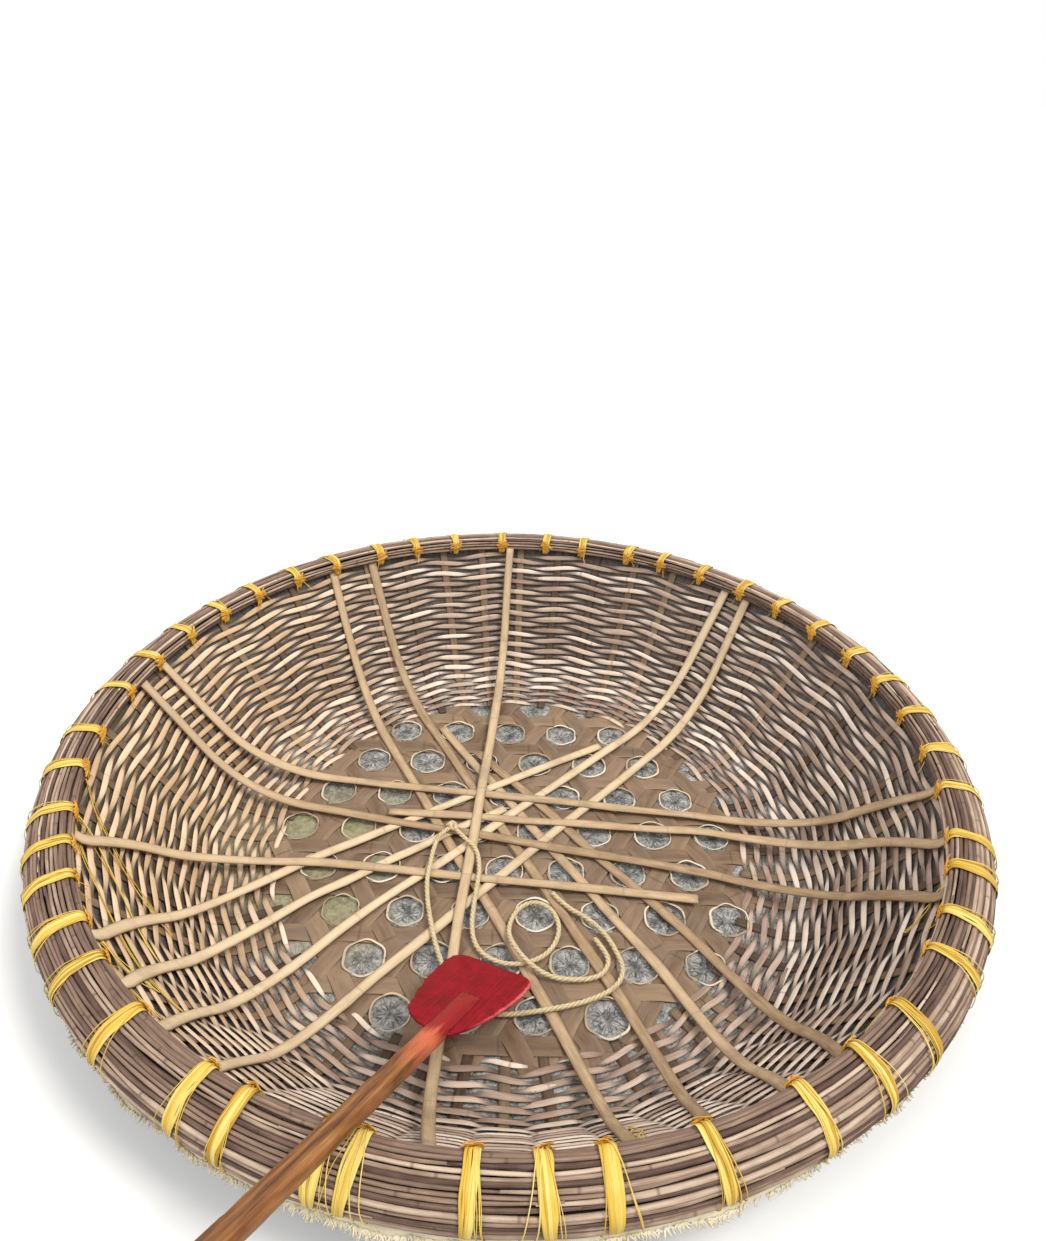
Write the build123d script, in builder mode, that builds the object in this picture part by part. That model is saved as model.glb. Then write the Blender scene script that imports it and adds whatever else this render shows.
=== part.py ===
"""Round woven-bamboo coracle with a waterproof skin, its paddle and its rope.

Millimetres. The origin is the centre of the flat bottom, on its outer face. +Z is up,
-Y looks towards the near rim where the paddle leans out, +X is to the right of that view.
The boat has 48 bays: every hoop is a 48-sided ring, flat between two stakes.
"""
from build123d import *
from math import asin, atan2, cos, degrees, hypot, pi, radians, sin, sqrt, tan
import os

os.makedirs("parts", exist_ok=True)

# Bowl
BAYS = 48
FLOOR_RADIUS = 790.0
KNUCKLE_RADIUS = 180.0
WALL_ANGLE = 55.0
RIM_MID_HEIGHT = 430.0
KNUCKLE_STEPS = 3
GAP = 0.3

# Waterproof skin
SKIN_THICKNESS = 4.0
SKIN_DISC_RADIUS = 400.0
SKIN_TOP_MARGIN = 4.0

# Woven wall
WEAVER_THICKNESS = 4.0
WEAVER_WIDTH = 30.0
WEAVER_PITCH = 43.0
WEAVER_ROWS = 11
FIRST_WEAVER = 151.0
HOOP_COUNT = 2
HOOP_GAP = 0.6
STAKE_THICKNESS = 4.0
STAKE_WIDTH = 30.0
OUTER_PASS_GAP = 2.2
INNER_PASS_GAP = 0.7
STAKE_FOOT = 8.0
STAKE_RISE = 23.0

# Woven floor
CELL = 160.0
STRIP_WIDTH = 46.0
STRIP_THICKNESS = 4.8
CELL_CENTRE = (-20.0, -110.0)
FLOOR_EDGE_MARGIN = 4.0

# Long ribs
RIB_WIDTH = 34.0
RIB_THICKNESS = 4.5
RIB_TOP = 560.0
RIB_BEND = 450.0
RIB_TURN_START = 540.0
RIB_BEND_STEPS = 5
RIB_WALL_STEPS = 3

# Rim, measured from the wall's outer face at the rim's middle height
CANE = 18.0
RIM_INSIDE = 32.7
CORE_DEPTH = 37.0
HOOP_BAND = 22.0
HOOP_BAND_THICKNESS = 8.0
HOOP_DROP = 12.0
HEM_THICKNESS = 3.0
HEM_DROP = 34.0
HEM_REACH = 73.0
LASHING_WIDTH = 32.0
LASHING_THICKNESS = 3.5
LASHING_LEG = 10.0

# Paddle
PADDLE_LENGTH = 1500.0
BLADE_LENGTH = 440.0
BLADE_WIDTH = 232.0
BLADE_THICKNESS = 16.0
SHAFT_RADIUS = 26.0
GRIP_RADIUS = 24.0
GRIP_LENGTH = 300.0
LAP_LENGTH = 205.0
LAP_TIP = 3.0

# Rope
ROPE_DIAMETER = 13.0

KNUCKLE_LENGTH = KNUCKLE_RADIUS * radians(WALL_ANGLE)
KNUCKLE_TOP_RADIUS = FLOOR_RADIUS + KNUCKLE_RADIUS * sin(radians(WALL_ANGLE))
KNUCKLE_TOP_HEIGHT = KNUCKLE_RADIUS * (1 - cos(radians(WALL_ANGLE)))
WALL_LENGTH = (RIM_MID_HEIGHT - KNUCKLE_TOP_HEIGHT) / sin(radians(WALL_ANGLE))
WALL_TOP = KNUCKLE_LENGTH + WALL_LENGTH
KNUCKLE_STEP = KNUCKLE_LENGTH / KNUCKLE_STEPS
BAY = 360.0 / BAYS


def slope(s):
    """Slope of the bowl's flat at s along the outer face from the floor's edge, in degrees."""
    if s < 0:
        return 0.0
    return min((int(s / KNUCKLE_STEP) + 0.5) * WALL_ANGLE / KNUCKLE_STEPS, WALL_ANGLE)


def bowl(s, n=0.0):
    """Radius and height of the point at s along the bowl and n inwards from its outer face."""
    if s < 0:
        return (FLOOR_RADIUS + s, n)
    if s >= KNUCKLE_LENGTH:
        a, run = radians(WALL_ANGLE), s - KNUCKLE_LENGTH
        radius = KNUCKLE_TOP_RADIUS + run * cos(a) - n * sin(a)
        return (radius, KNUCKLE_TOP_HEIGHT + run * sin(a) + n * cos(a))
    turned = KNUCKLE_RADIUS - n
    flat, part = divmod(s / KNUCKLE_STEP, 1.0)
    ends = [radians((flat + end) * WALL_ANGLE / KNUCKLE_STEPS) for end in (0, 1)]
    radius = FLOOR_RADIUS + turned * (sin(ends[0]) * (1 - part) + sin(ends[1]) * part)
    height = KNUCKLE_RADIUS - turned * (cos(ends[0]) * (1 - part) + cos(ends[1]) * part)
    return (radius, height)


def wall_radius(z):
    """Radius of the wall's outer face at height z."""
    return KNUCKLE_TOP_RADIUS + (z - KNUCKLE_TOP_HEIGHT) / tan(radians(WALL_ANGLE))


def bowl_line(start, end, n):
    """Points along the bowl from start to end, n inwards, with the knuckle in equal steps."""
    turns = [KNUCKLE_STEP * i for i in range(KNUCKLE_STEPS + 1)]
    return [bowl(s, n) for s in [start] + [t for t in turns if start < t < end] + [end]]


def corner(i, radius, z=0.0):
    """Corner i of the ring whose flats lie at the given radius."""
    a = radians(BAY * i)
    reach = radius / cos(radians(BAY / 2))
    return Vector(reach * cos(a), reach * sin(a), z)


def ring_outline(radius):
    """Corners of a flat 48-sided outline."""
    return [(corner(i, radius).X, corner(i, radius).Y) for i in range(BAYS)]


def bay_plane(angle):
    """Upright plane through the centre line: x is outwards, y is up."""
    a = radians(angle)
    return Plane(origin=(0, 0, 0), x_dir=(cos(a), sin(a), 0), z_dir=(sin(a), -cos(a), 0))


def hoop_path(radius, z=0.0):
    """Closed 48-sided path, from the middle of the first bay and back to it."""
    corners = [corner(-i, radius, z) for i in range(BAYS)]
    middle = (corners[0] + corner(1, radius, z)) * 0.5
    return [middle, *corners, middle]


# Waterproof skin: a disc, and a ring swept round it
with BuildPart() as hull_skin:
    with BuildSketch():
        Polygon(*ring_outline(SKIN_DISC_RADIUS))
    extrude(amount=SKIN_THICKNESS)
    skin_inner_edge = SKIN_DISC_RADIUS - FLOOR_RADIUS
    skin_top = WALL_TOP - SKIN_TOP_MARGIN
    with BuildLine():
        Polyline(*hoop_path(FLOOR_RADIUS))
    with BuildSketch(bay_plane(BAY / 2)):
        outer_face = bowl_line(skin_inner_edge, skin_top, 0.0)
        inner_face = bowl_line(skin_inner_edge, skin_top, SKIN_THICKNESS)
        Polygon(outer_face + inner_face[::-1])
    sweep(transition=Transition.RIGHT)
hull_skin.part.label = "hull_skin"

# Woven wall: each weaver passes outside one stake and inside the next
OUTER_PASS = SKIN_THICKNESS + GAP + WEAVER_THICKNESS / 2
STAKE_OUT = OUTER_PASS + WEAVER_THICKNESS / 2 + OUTER_PASS_GAP
STAKE_IN = STAKE_OUT + STAKE_THICKNESS
INNER_PASS = STAKE_IN + INNER_PASS_GAP + WEAVER_THICKNESS / 2
LINING = INNER_PASS + WEAVER_THICKNESS / 2

with BuildPart() as stake:
    with BuildSketch(bay_plane(0)):
        stake_outer = bowl_line(STAKE_FOOT, WALL_TOP + STAKE_RISE, STAKE_OUT)
        stake_inner = bowl_line(STAKE_FOOT, WALL_TOP + STAKE_RISE, STAKE_IN)
        at_corner = 1 / cos(radians(BAY / 2))
        Polygon([(r * at_corner, z) for r, z in stake_outer + stake_inner[::-1]])
    extrude(amount=STAKE_WIDTH / 2, both=True)
with BuildPart() as wall_stakes:
    with PolarLocations(0, BAYS):
        add(stake.part)
wall_stakes.part.label = "wall_stakes"

with BuildPart() as wall_weavers:
    for row in range(WEAVER_ROWS):
        s = FIRST_WEAVER + WEAVER_PITCH * row
        middle, height = bowl(s, (OUTER_PASS + INNER_PASS) / 2)
        swing = (INNER_PASS - OUTER_PASS) / 2 / sin(radians(slope(s)))
        passes = [middle + swing * (-1) ** (i + row) for i in range(BAYS)]
        corners = [corner(i, passes[i], height) for i in range(BAYS)]
        start = (corners[0] + corners[-1]) * 0.5
        along = (corners[0] - corners[-1]).normalized()
        with BuildLine():
            Polyline(start, *corners, start)
        with BuildSketch(Plane(origin=start, x_dir=along.cross(Vector(0, 0, 1)), z_dir=along)):
            Rectangle(WEAVER_THICKNESS, WEAVER_WIDTH, rotation=90 - slope(s))
        sweep(transition=Transition.RIGHT)
wall_weavers.part.label = "wall_weavers"

with BuildPart() as knuckle_hoops:
    for row in range(HOOP_COUNT):
        s = KNUCKLE_STEP * (row + 0.5)
        radius, height = bowl(s, STAKE_IN + HOOP_GAP + WEAVER_THICKNESS / 2)
        with BuildLine():
            Polyline(*hoop_path(radius, height))
        with BuildSketch(bay_plane(BAY / 2)):
            with Locations((radius, height)):
                Rectangle(WEAVER_WIDTH, WEAVER_THICKNESS, rotation=slope(s))
        sweep(transition=Transition.RIGHT)
knuckle_hoops.part.label = "knuckle_hoops"

# Woven floor: three families of flat splits round six-sided holes
FAMILIES = [("floor_strips_across", 0.0), ("floor_strips_right", 60.0), ("floor_strips_left", 120.0)]
floor_radius = FLOOR_RADIUS - FLOOR_EDGE_MARGIN
floor_strips = []
for layer, (name, heading) in enumerate(FAMILIES):
    along = (cos(radians(heading)), sin(radians(heading)))
    aside = (-along[1], along[0])
    centre = CELL_CENTRE[0] * aside[0] + CELL_CENTRE[1] * aside[1]
    bottom = SKIN_THICKNESS + GAP + layer * (STRIP_THICKNESS + GAP)
    with BuildPart(Plane.XY.offset(bottom)) as strips:
        for count in range(-6, 7):
            across = centre + (count + 0.5) * CELL
            reach = abs(across) + STRIP_WIDTH / 2
            if reach > floor_radius - STRIP_WIDTH:
                continue
            half = sqrt(floor_radius ** 2 - reach ** 2)
            with Locations(Location((aside[0] * across, aside[1] * across, 0), (0, 0, heading))):
                Box(2 * half, STRIP_WIDTH, STRIP_THICKNESS, align=(Align.CENTER, Align.CENTER, Align.MIN))
    strips.part.label = name
    floor_strips.append(strips.part)

# Long ribs over the lining. Each is a stiff split: it springs over the knuckle in a wide bend
# and turns aside on its way up to where it is tied to the rim. Columns: name, heading in
# degrees, offset of the middle to the right of the heading, layer from below, azimuth where
# the end behind the heading meets the rim, the same for the end ahead or None where that end
# stops on the floor, and how far along the heading it then reaches
RIBS = [
    ("rib_right_1", 45.0, -85.0, 1, 232.3, 49.3, None),
    ("rib_right_2", 48.0, 70.0, 1, 240.3, 44.5, None),
    ("rib_right_3", 35.0, -134.0, 1, 225.0, None, 60.0),
    ("rib_right_4", 32.0, -239.0, 1, 217.0, None, 500.0),
    ("rib_left_1", 118.0, -174.0, 0, 282.1, 126.9, None),
    ("rib_left_2", 119.0, 0.0, 0, 289.6, 119.0, None),
    ("rib_left_3", 124.0, 89.0, 0, 299.0, None, 600.0),
    ("rib_left_4", 130.0, 173.0, 0, 306.4, None, 400.0),
    ("rib_cross_1", 169.5, 0.0, 2, 333.0, 169.5, None),
    ("rib_cross_2", 177.0, 90.0, 2, 342.5, None, 400.0),
    ("rib_cross_3", 175.0, -160.0, 2, None, 201.0, 560.0),
    ("rib_cross_4", 174.0, 190.0, 2, 351.9, 164.3, None),
    ("rib_ahead", 86.0, -120.0, 3, 263.2, 92.1, None),
]
RIB_BASE = max(LINING, SKIN_THICKNESS + 3 * (STRIP_THICKNESS + GAP)) + GAP
RIB_BEND_START = FLOOR_RADIUS - (RIB_BEND - KNUCKLE_RADIUS) * tan(radians(WALL_ANGLE / 2))


def rib_climb(n):
    """Radius, height and slope along an end that climbs, n inwards from the skin."""
    climb = [(RIB_TURN_START, n, 0.0), ((RIB_TURN_START + RIB_BEND_START) / 2, n, 0.0)]
    for i in range(RIB_BEND_STEPS + 1):
        tilt = radians(WALL_ANGLE * i / RIB_BEND_STEPS)
        turned = RIB_BEND - n
        climb.append((RIB_BEND_START + turned * sin(tilt), RIB_BEND - turned * cos(tilt), tilt))
    foot_radius, foot_height, tilt = climb[-1]
    top_radius, top_height = bowl(RIB_TOP, n)
    for i in range(1, RIB_WALL_STEPS + 1):
        part = i / RIB_WALL_STEPS
        radius = foot_radius * (1 - part) + top_radius * part
        climb.append((radius, foot_height * (1 - part) + top_height * part, tilt))
    return climb


def rib_end(straight_on, aside, landing, n):
    """Points and inward directions of an end that climbs, from the floor up to the rim."""
    climb = rib_climb(n)
    top_radius = climb[-1][0]
    turn = landing - straight_on(aside, top_radius)
    end = []
    for radius, height, tilt in climb:
        part = (radius - RIB_TURN_START) / (top_radius - RIB_TURN_START)
        a = radians(straight_on(aside, radius) + turn * part ** 2)
        inward = Vector(-sin(tilt) * cos(a), -sin(tilt) * sin(a), cos(tilt))
        end.append((Vector(radius * cos(a), radius * sin(a), height), inward))
    return end


def rib_route(heading, aside, back, ahead, reach, n):
    """Points and inward directions of a whole rib, from the end behind its heading."""
    a = radians(heading)
    way = Vector(cos(a), sin(a), 0)
    middle = Vector(sin(a), -cos(a), 0) * aside + Vector(0, 0, n)
    up = Vector(0, 0, 1)

    def behind(sideways, radius):
        return heading + 180 + degrees(asin(sideways / radius))

    def before(sideways, radius):
        return heading - degrees(asin(sideways / radius))

    first = rib_end(behind, aside, back, n)[::-1] if back else [(middle - way * reach, up)]
    last = rib_end(before, aside, ahead, n) if ahead else [(middle + way * reach, up)]
    return first + last


ribs = []
for name, heading, aside, layer, back, ahead, reach in RIBS:
    low = RIB_BASE + layer * (RIB_THICKNESS + GAP)
    route = rib_route(heading, aside, back, ahead, reach, low)
    points = [point for point, inward in route]
    with BuildPart() as rib:
        for before, (point, inward), after in zip(points[:1] + points, route, points[1:] + points[-1:]):
            along = (after - before).normalized()
            across = along.cross(inward).normalized()
            middle = point + across.cross(along) * (RIB_THICKNESS / 2)
            with BuildSketch(Plane(origin=middle, x_dir=across, z_dir=along)):
                Rectangle(RIB_WIDTH, RIB_THICKNESS)
        loft(ruled=True)
    rib.part.label = name
    ribs.append(rib.part)

# Rim: an inner band and a core hold the top of the wall, and canes lie round them
wall_edge = wall_radius(RIM_MID_HEIGHT)
rim_inner_radius = wall_edge - RIM_INSIDE
hoop_low = WALL_TOP - HOOP_DROP
with BuildPart() as inner_hoop:
    with BuildLine():
        Polyline(*hoop_path(rim_inner_radius))
    with BuildSketch(bay_plane(BAY / 2)):
        Polygon(
            bowl(hoop_low, LINING + GAP),
            bowl(hoop_low + HOOP_BAND, LINING + GAP),
            bowl(hoop_low + HOOP_BAND, LINING + GAP + HOOP_BAND_THICKNESS),
            bowl(hoop_low, LINING + GAP + HOOP_BAND_THICKNESS),
        )
    sweep(transition=Transition.RIGHT)
inner_hoop.part.label = "inner_hoop"

# Canes of the rim. Columns: inner radius from the rim's inner edge, underside from its middle
CANE_STEP = CANE + GAP
CANES = [
    (0.0, 24.4),
    (CANE_STEP, 28.0),
    (2 * CANE_STEP, 27.0),
    (3 * CANE_STEP, 25.4),
    (4 * CANE_STEP, 24.0),
    (5 * CANE_STEP, 7.0),
    (5 * CANE_STEP + 8.5, 7.0 - CANE_STEP),
    (5 * CANE_STEP + 7.5, 7.0 - 2 * CANE_STEP),
]
with BuildPart() as rim_canes:
    for inset, under in CANES:
        inner = rim_inner_radius + inset
        with BuildSketch(Plane.XY.offset(RIM_MID_HEIGHT + under)):
            Polygon(*ring_outline(inner + CANE))
            Polygon(*ring_outline(inner), mode=Mode.SUBTRACT)
        extrude(amount=CANE)
rim_canes.part.label = "rim_canes"

# Core. Columns: distance out from the rim's inner edge, height from the rim's middle
core_bottom = RIM_MID_HEIGHT - CORE_DEPTH
core_top = RIM_MID_HEIGHT + 24.8
CORE = [(5 * CANE_STEP + 7.0, -CORE_DEPTH), (5 * CANE_STEP + 7.0, 6.5), (5 * CANE_STEP - 0.5, 6.5),
        (5 * CANE_STEP - 0.5, 15.5), (4 * CANE_STEP - 3.2, 24.8)]
with BuildPart() as rim_core:
    with BuildLine():
        Polyline(*hoop_path(rim_inner_radius))
    with BuildSketch(bay_plane(BAY / 2)):
        outer_side = [(rim_inner_radius + out, RIM_MID_HEIGHT + up) for out, up in CORE]
        wall_side = [(wall_radius(z) + 2 * GAP, z) for z in (core_top, core_bottom)]
        Polygon(outer_side + wall_side)
    sweep(transition=Transition.RIGHT)
rim_core.part.label = "rim_core"

with BuildPart() as skin_hem:
    hem_top = core_bottom - GAP
    hem_outer = wall_edge + HEM_REACH
    with BuildLine():
        Polyline(*hoop_path(rim_inner_radius))
    with BuildSketch(bay_plane(BAY / 2)):
        Polygon(
            (wall_radius(hem_top) + 2 * GAP, hem_top),
            (wall_radius(hem_top - HEM_THICKNESS) + 2 * GAP, hem_top - HEM_THICKNESS),
            (hem_outer - HEM_THICKNESS, hem_top - HEM_THICKNESS),
            (hem_outer - HEM_THICKNESS, hem_top - HEM_DROP),
            (hem_outer, hem_top - HEM_DROP),
            (hem_outer, hem_top),
        )
    sweep(transition=Transition.RIGHT)
skin_hem.part.label = "skin_hem"

# Lashings: one strap in each bay, close round the canes' outline.
# Columns: distance out from the rim's inner edge, height from the rim's middle
SIDE = 5 * CANE_STEP + CANE
RIM_OUTLINE = [(0.0, -CORE_DEPTH), (0.0, 46.0), (5 * CANE_STEP, 46.0), (SIDE + 0.5, 25.0),
               (SIDE + 8.8, 7.0), (SIDE + 8.8, -CORE_DEPTH)]
with BuildPart() as strap:
    with BuildSketch(bay_plane(BAY / 2)):
        outline = [(rim_inner_radius + out, RIM_MID_HEIGHT + up) for out, up in RIM_OUTLINE]
        leg_end = RIM_MID_HEIGHT - LASHING_LEG
        far = rim_inner_radius + 2 * SIDE
        middle = rim_inner_radius + SIDE / 2
        Polygon(outline)
        offset(amount=GAP + LASHING_THICKNESS, kind=Kind.INTERSECTION, mode=Mode.REPLACE)
        with BuildSketch(mode=Mode.SUBTRACT):
            Polygon(outline)
            offset(amount=GAP, kind=Kind.INTERSECTION, mode=Mode.REPLACE)
        Polygon((0.0, leg_end), (middle, leg_end), (middle, core_bottom), (far, core_bottom), (far, 0.0), (0.0, 0.0),
                align=None, mode=Mode.SUBTRACT)
    extrude(amount=LASHING_WIDTH / 2, both=True)
with BuildPart() as rim_lashings:
    with PolarLocations(0, BAYS):
        add(strap.part)
rim_lashings.part.label = "rim_lashings"

# Paddle: its blade's tip stands on a rib and its shaft leans on the rim's inner top edge
TIP = Vector(-22.0, -470.0, 0)
LEAN_AZIMUTH = 256.5
tip_height = RIB_BASE + RIB_THICKNESS + GAP
lean_azimuth = radians(LEAN_AZIMUTH)
lean = Vector(rim_inner_radius * cos(lean_azimuth), rim_inner_radius * sin(lean_azimuth), 0)
plan = lean - TIP
rest_height = RIM_MID_HEIGHT + CANES[0][1] + CANE + GAP
rise = rest_height - tip_height
t = atan2(rise, plan.length) + asin((SHAFT_RADIUS - BLADE_THICKNESS / 2) / hypot(plan.length, rise))
h = atan2(plan.Y, plan.X)
axis = Vector(cos(h) * cos(t), sin(h) * cos(t), sin(t))
lift = Vector(-cos(h) * sin(t), -sin(h) * sin(t), cos(t))
tip = Vector(TIP.X, TIP.Y, tip_height) + lift * (BLADE_THICKNESS / 2)
aside = axis.cross(lift)
print("axis", axis, "free end", tip + axis * PADDLE_LENGTH)

# Blade outline. Columns: distance from the tip, half width
BLADE = [(0.0, 0.34 * BLADE_WIDTH), (0.06 * BLADE_LENGTH, 0.43 * BLADE_WIDTH), (0.32 * BLADE_LENGTH, BLADE_WIDTH / 2),
         (0.72 * BLADE_LENGTH, 0.42 * BLADE_WIDTH), (0.93 * BLADE_LENGTH, 0.27 * BLADE_WIDTH),
         (BLADE_LENGTH, 0.13 * BLADE_WIDTH)]
with BuildPart() as paddle_blade:
    with BuildSketch(Plane(origin=tip, x_dir=axis, z_dir=lift)):
        Polygon([(x, y) for x, y in BLADE] + [(x, -y) for x, y in BLADE[::-1]])
    extrude(amount=BLADE_THICKNESS / 2, both=True)
paddle_blade.part.label = "paddle_blade"

# The shaft's end is cut back to a wedge that lies on the blade, and it narrows to the grip
with BuildPart() as paddle_shaft:
    lap_start = BLADE_LENGTH - LAP_LENGTH
    grip_start = PADDLE_LENGTH - GRIP_LENGTH
    with BuildSketch(Plane(origin=tip, x_dir=axis, z_dir=-aside)):
        Polygon((lap_start, 0), (lap_start, SHAFT_RADIUS), (grip_start, GRIP_RADIUS), (PADDLE_LENGTH, GRIP_RADIUS),
                (PADDLE_LENGTH, 0))
    revolve(axis=Axis(tip, axis))
    with BuildSketch(Plane(origin=tip, x_dir=axis, z_dir=-aside)):
        face = BLADE_THICKNESS / 2 + GAP
        Polygon((lap_start - 1, -2 * SHAFT_RADIUS), (lap_start - 1, face), (BLADE_LENGTH + GAP, face),
                (BLADE_LENGTH + GAP, -2 * SHAFT_RADIUS))
        Polygon((lap_start - 1, face + LAP_TIP), (BLADE_LENGTH - 40.0, 2 * SHAFT_RADIUS - 10.0),
                (lap_start - 1, 2 * SHAFT_RADIUS))
    extrude(amount=2 * SHAFT_RADIUS, both=True, mode=Mode.SUBTRACT)
paddle_shaft.part.label = "paddle_shaft"

# Rope: two strands leave a knot tied over the crossing of two ribs. Points are x, y, z
KNOT_CENTRE = (-185.0, 36.0, 46.0)
KNOT_SIZE = (36.0, 30.0, 24.0)
KNOT_HEADING = -51.0
STRAND_SHORT = [
    (-238.0, -60.0, 43.0), (-241.0, -110.0, 41.5),
    (-246.0, -168.0, 41.5), (-238.0, -240.0, 30.0), (-224.0, -303.0, 36.5), (-205.0, -380.0, 36.5),
    (-180.0, -456.0, 46.0), (-148.0, -527.0, 46.0), (-98.0, -576.0, 46.0), (-30.0, -601.0, 30.0),
    (45.0, -592.0, 31.0), (130.0, -576.0, 31.7), (210.0, -553.0, 31.0), (282.0, -514.0, 31.7),
    (310.0, -462.0, 31.7), (297.0, -405.0, 28.0), (268.0, -340.0, 28.0), (218.0, -288.0, 31.0),
    (158.0, -252.0, 31.7), (122.0, -204.0, 31.7),
]
STRAND_LONG = [
    (-106.0, -52.0, 46.0),
    (-93.0, -124.0, 41.5), (-97.0, -184.0, 41.5), (-104.0, -262.0, 36.5), (-106.0, -340.0, 28.0),
    (-87.0, -402.0, 28.0), (-40.0, -439.0, 28.0), (18.0, -452.0, 31.7), (78.0, -434.0, 31.7),
    (121.0, -392.0, 28.0), (142.0, -330.0, 29.0), (127.0, -272.0, 31.7), (86.0, -238.0, 31.7),
    (42.0, -242.0, 28.0), (8.0, -284.0, 28.0), (-5.0, -344.0, 32.0), (12.0, -404.0, 50.0),
    (58.0, -463.0, 50.0), (113.0, -486.0, 31.0), (165.0, -489.0, 28.0), (214.0, -489.0, 31.0),
    (252.0, -472.0, 31.7), (272.0, -434.0, 31.7), (260.0, -392.0, 28.0), (236.0, -356.0, 28.0),
]


# Columns: heading of the knot's face that a strand leaves, reach from the knot's middle, first run
EXIT_SHORT = (KNOT_HEADING - 90.0, KNOT_SIZE[1] / 2, 35.0)
EXIT_LONG = (KNOT_HEADING, KNOT_SIZE[0] / 2, 45.0)


def rope_strand(exit_face, points):
    """Eight-sided tube from a face of the knot, each bend as large as its two runs allow."""
    heading, reach, run = exit_face
    way = Vector(cos(radians(heading)), sin(radians(heading)), 0)
    knot = Vector(*KNOT_CENTRE)
    route = [knot + way * reach, knot + way * (reach + run)] + [Vector(*p) for p in points]
    bends = []
    for before, at, after in zip(route, route[1:], route[2:]):
        turn = radians((at - before).get_angle(after - at))
        shorter = min((at - before).length, (after - at).length)
        bends.append(0.45 * shorter / tan(turn / 2))
    print("bend radii", [round(bend) for bend in bends])
    with BuildPart() as strand:
        with BuildLine() as line:
            FilletPolyline(*route, radius=bends)
        with BuildSketch(Plane(origin=route[0], z_dir=route[1] - route[0])):
            RegularPolygon(ROPE_DIAMETER / 2, 8)
        sweep()
    length = sum(edge.length for edge in line.edges())
    section = 4 * (ROPE_DIAMETER / 2) ** 2 * sin(pi / 4)
    print("length", round(length), "volume ratio", round(strand.part.volume / (length * section), 4))
    return strand.part


rope_short = rope_strand(EXIT_SHORT, STRAND_SHORT)
rope_short.label = "rope_short"
rope_long = rope_strand(EXIT_LONG, STRAND_LONG)
rope_long.label = "rope_long"

with BuildPart() as rope_knot:
    with Locations(Location(KNOT_CENTRE, (0, 0, KNOT_HEADING))):
        Box(*KNOT_SIZE)
    chamfer(rope_knot.edges(), length=5.0)
rope_knot.part.label = "rope_knot"

pieces = [hull_skin.part, wall_stakes.part, wall_weavers.part, knuckle_hoops.part, *floor_strips, *ribs]
pieces += [inner_hoop.part, rim_core.part, rim_canes.part, skin_hem.part, rim_lashings.part]
pieces += [paddle_blade.part, paddle_shaft.part, rope_short, rope_long, rope_knot.part]
for piece in pieces:
    export_step(piece, f"parts/{piece.label}.step")
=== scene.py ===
"""Looks for the woven coracle, its paddle and its rope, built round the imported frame.

Metres, in the part's frame: +Z up, the near rim towards -Y. Azimuths run round +Z, in tables in degrees.
"""
import math

import bpy
import numpy as np
from mathutils import Matrix, Vector


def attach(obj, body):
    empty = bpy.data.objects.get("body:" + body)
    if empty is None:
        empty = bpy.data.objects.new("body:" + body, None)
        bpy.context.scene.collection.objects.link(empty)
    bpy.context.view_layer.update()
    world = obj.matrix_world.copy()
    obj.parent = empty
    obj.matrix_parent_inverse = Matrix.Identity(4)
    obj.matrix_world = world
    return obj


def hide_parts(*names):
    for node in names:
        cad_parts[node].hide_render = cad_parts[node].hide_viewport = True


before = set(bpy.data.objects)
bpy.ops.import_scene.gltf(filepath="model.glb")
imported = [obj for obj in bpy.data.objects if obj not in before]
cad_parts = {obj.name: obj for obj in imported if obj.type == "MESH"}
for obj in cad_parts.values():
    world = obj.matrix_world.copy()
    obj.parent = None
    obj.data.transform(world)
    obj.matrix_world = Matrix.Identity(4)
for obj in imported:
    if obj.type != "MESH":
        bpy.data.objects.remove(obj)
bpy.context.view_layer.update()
scene = bpy.context.scene
rng = np.random.default_rng(11)
uniform, normal = rng.uniform, rng.normal

# Bowl, as in the part
BAYS = 48
FLOOR_R, KNUCKLE_R, WALL = 0.79, 0.18, math.radians(55)
WALL_TOP, WATERLINE = 0.604, 0.19
TURN = 2 * math.pi
UP = np.array([0.0, 0.0, 1.0])


def bowl(s, n):
    """Radius and height at s along the bowl from the floor's edge, n inwards of its outer face."""
    s, n = np.broadcast_arrays(s, n)
    a = np.clip(s / KNUCKLE_R, 0, WALL)
    run = np.clip(s - KNUCKLE_R * WALL, 0, None)
    r = FLOOR_R + np.minimum(s, 0) + (KNUCKLE_R - n) * np.sin(a) + run * math.cos(WALL)
    z = KNUCKLE_R - (KNUCKLE_R - n) * np.cos(a) + run * math.sin(WALL)
    return r, z


def clamp(v):
    """v kept between 0 and 1."""
    return np.clip(v, 0, 1)


def circle(count):
    """count azimuths at even steps."""
    return np.arange(count) * TURN / count


def around(theta, r, z):
    """Points at azimuth theta, radius r and height z."""
    theta, r, z = np.broadcast_arrays(theta, r, z)
    return np.stack([r * np.cos(theta), r * np.sin(theta), z], -1)


def inwards(theta, s):
    """Directions square to the bowl, into it, at azimuth theta and s along it."""
    tilt = np.clip(s / KNUCKLE_R, 0, WALL)
    return around(theta, -np.sin(tilt), np.cos(tilt))


def unit(v):
    """Rows of v at length one."""
    return v / np.maximum(np.linalg.norm(v, axis=-1, keepdims=True), 1e-9)


def wander(count, waves, size):
    """A smooth random line of count values, with a mean size, made of a few waves."""
    t = np.linspace(0, TURN, count)
    line = sum(normal() * np.sin(k * t + uniform(0, TURN)) for k in range(1, waves + 1))
    return size * line / math.sqrt(waves)


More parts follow.
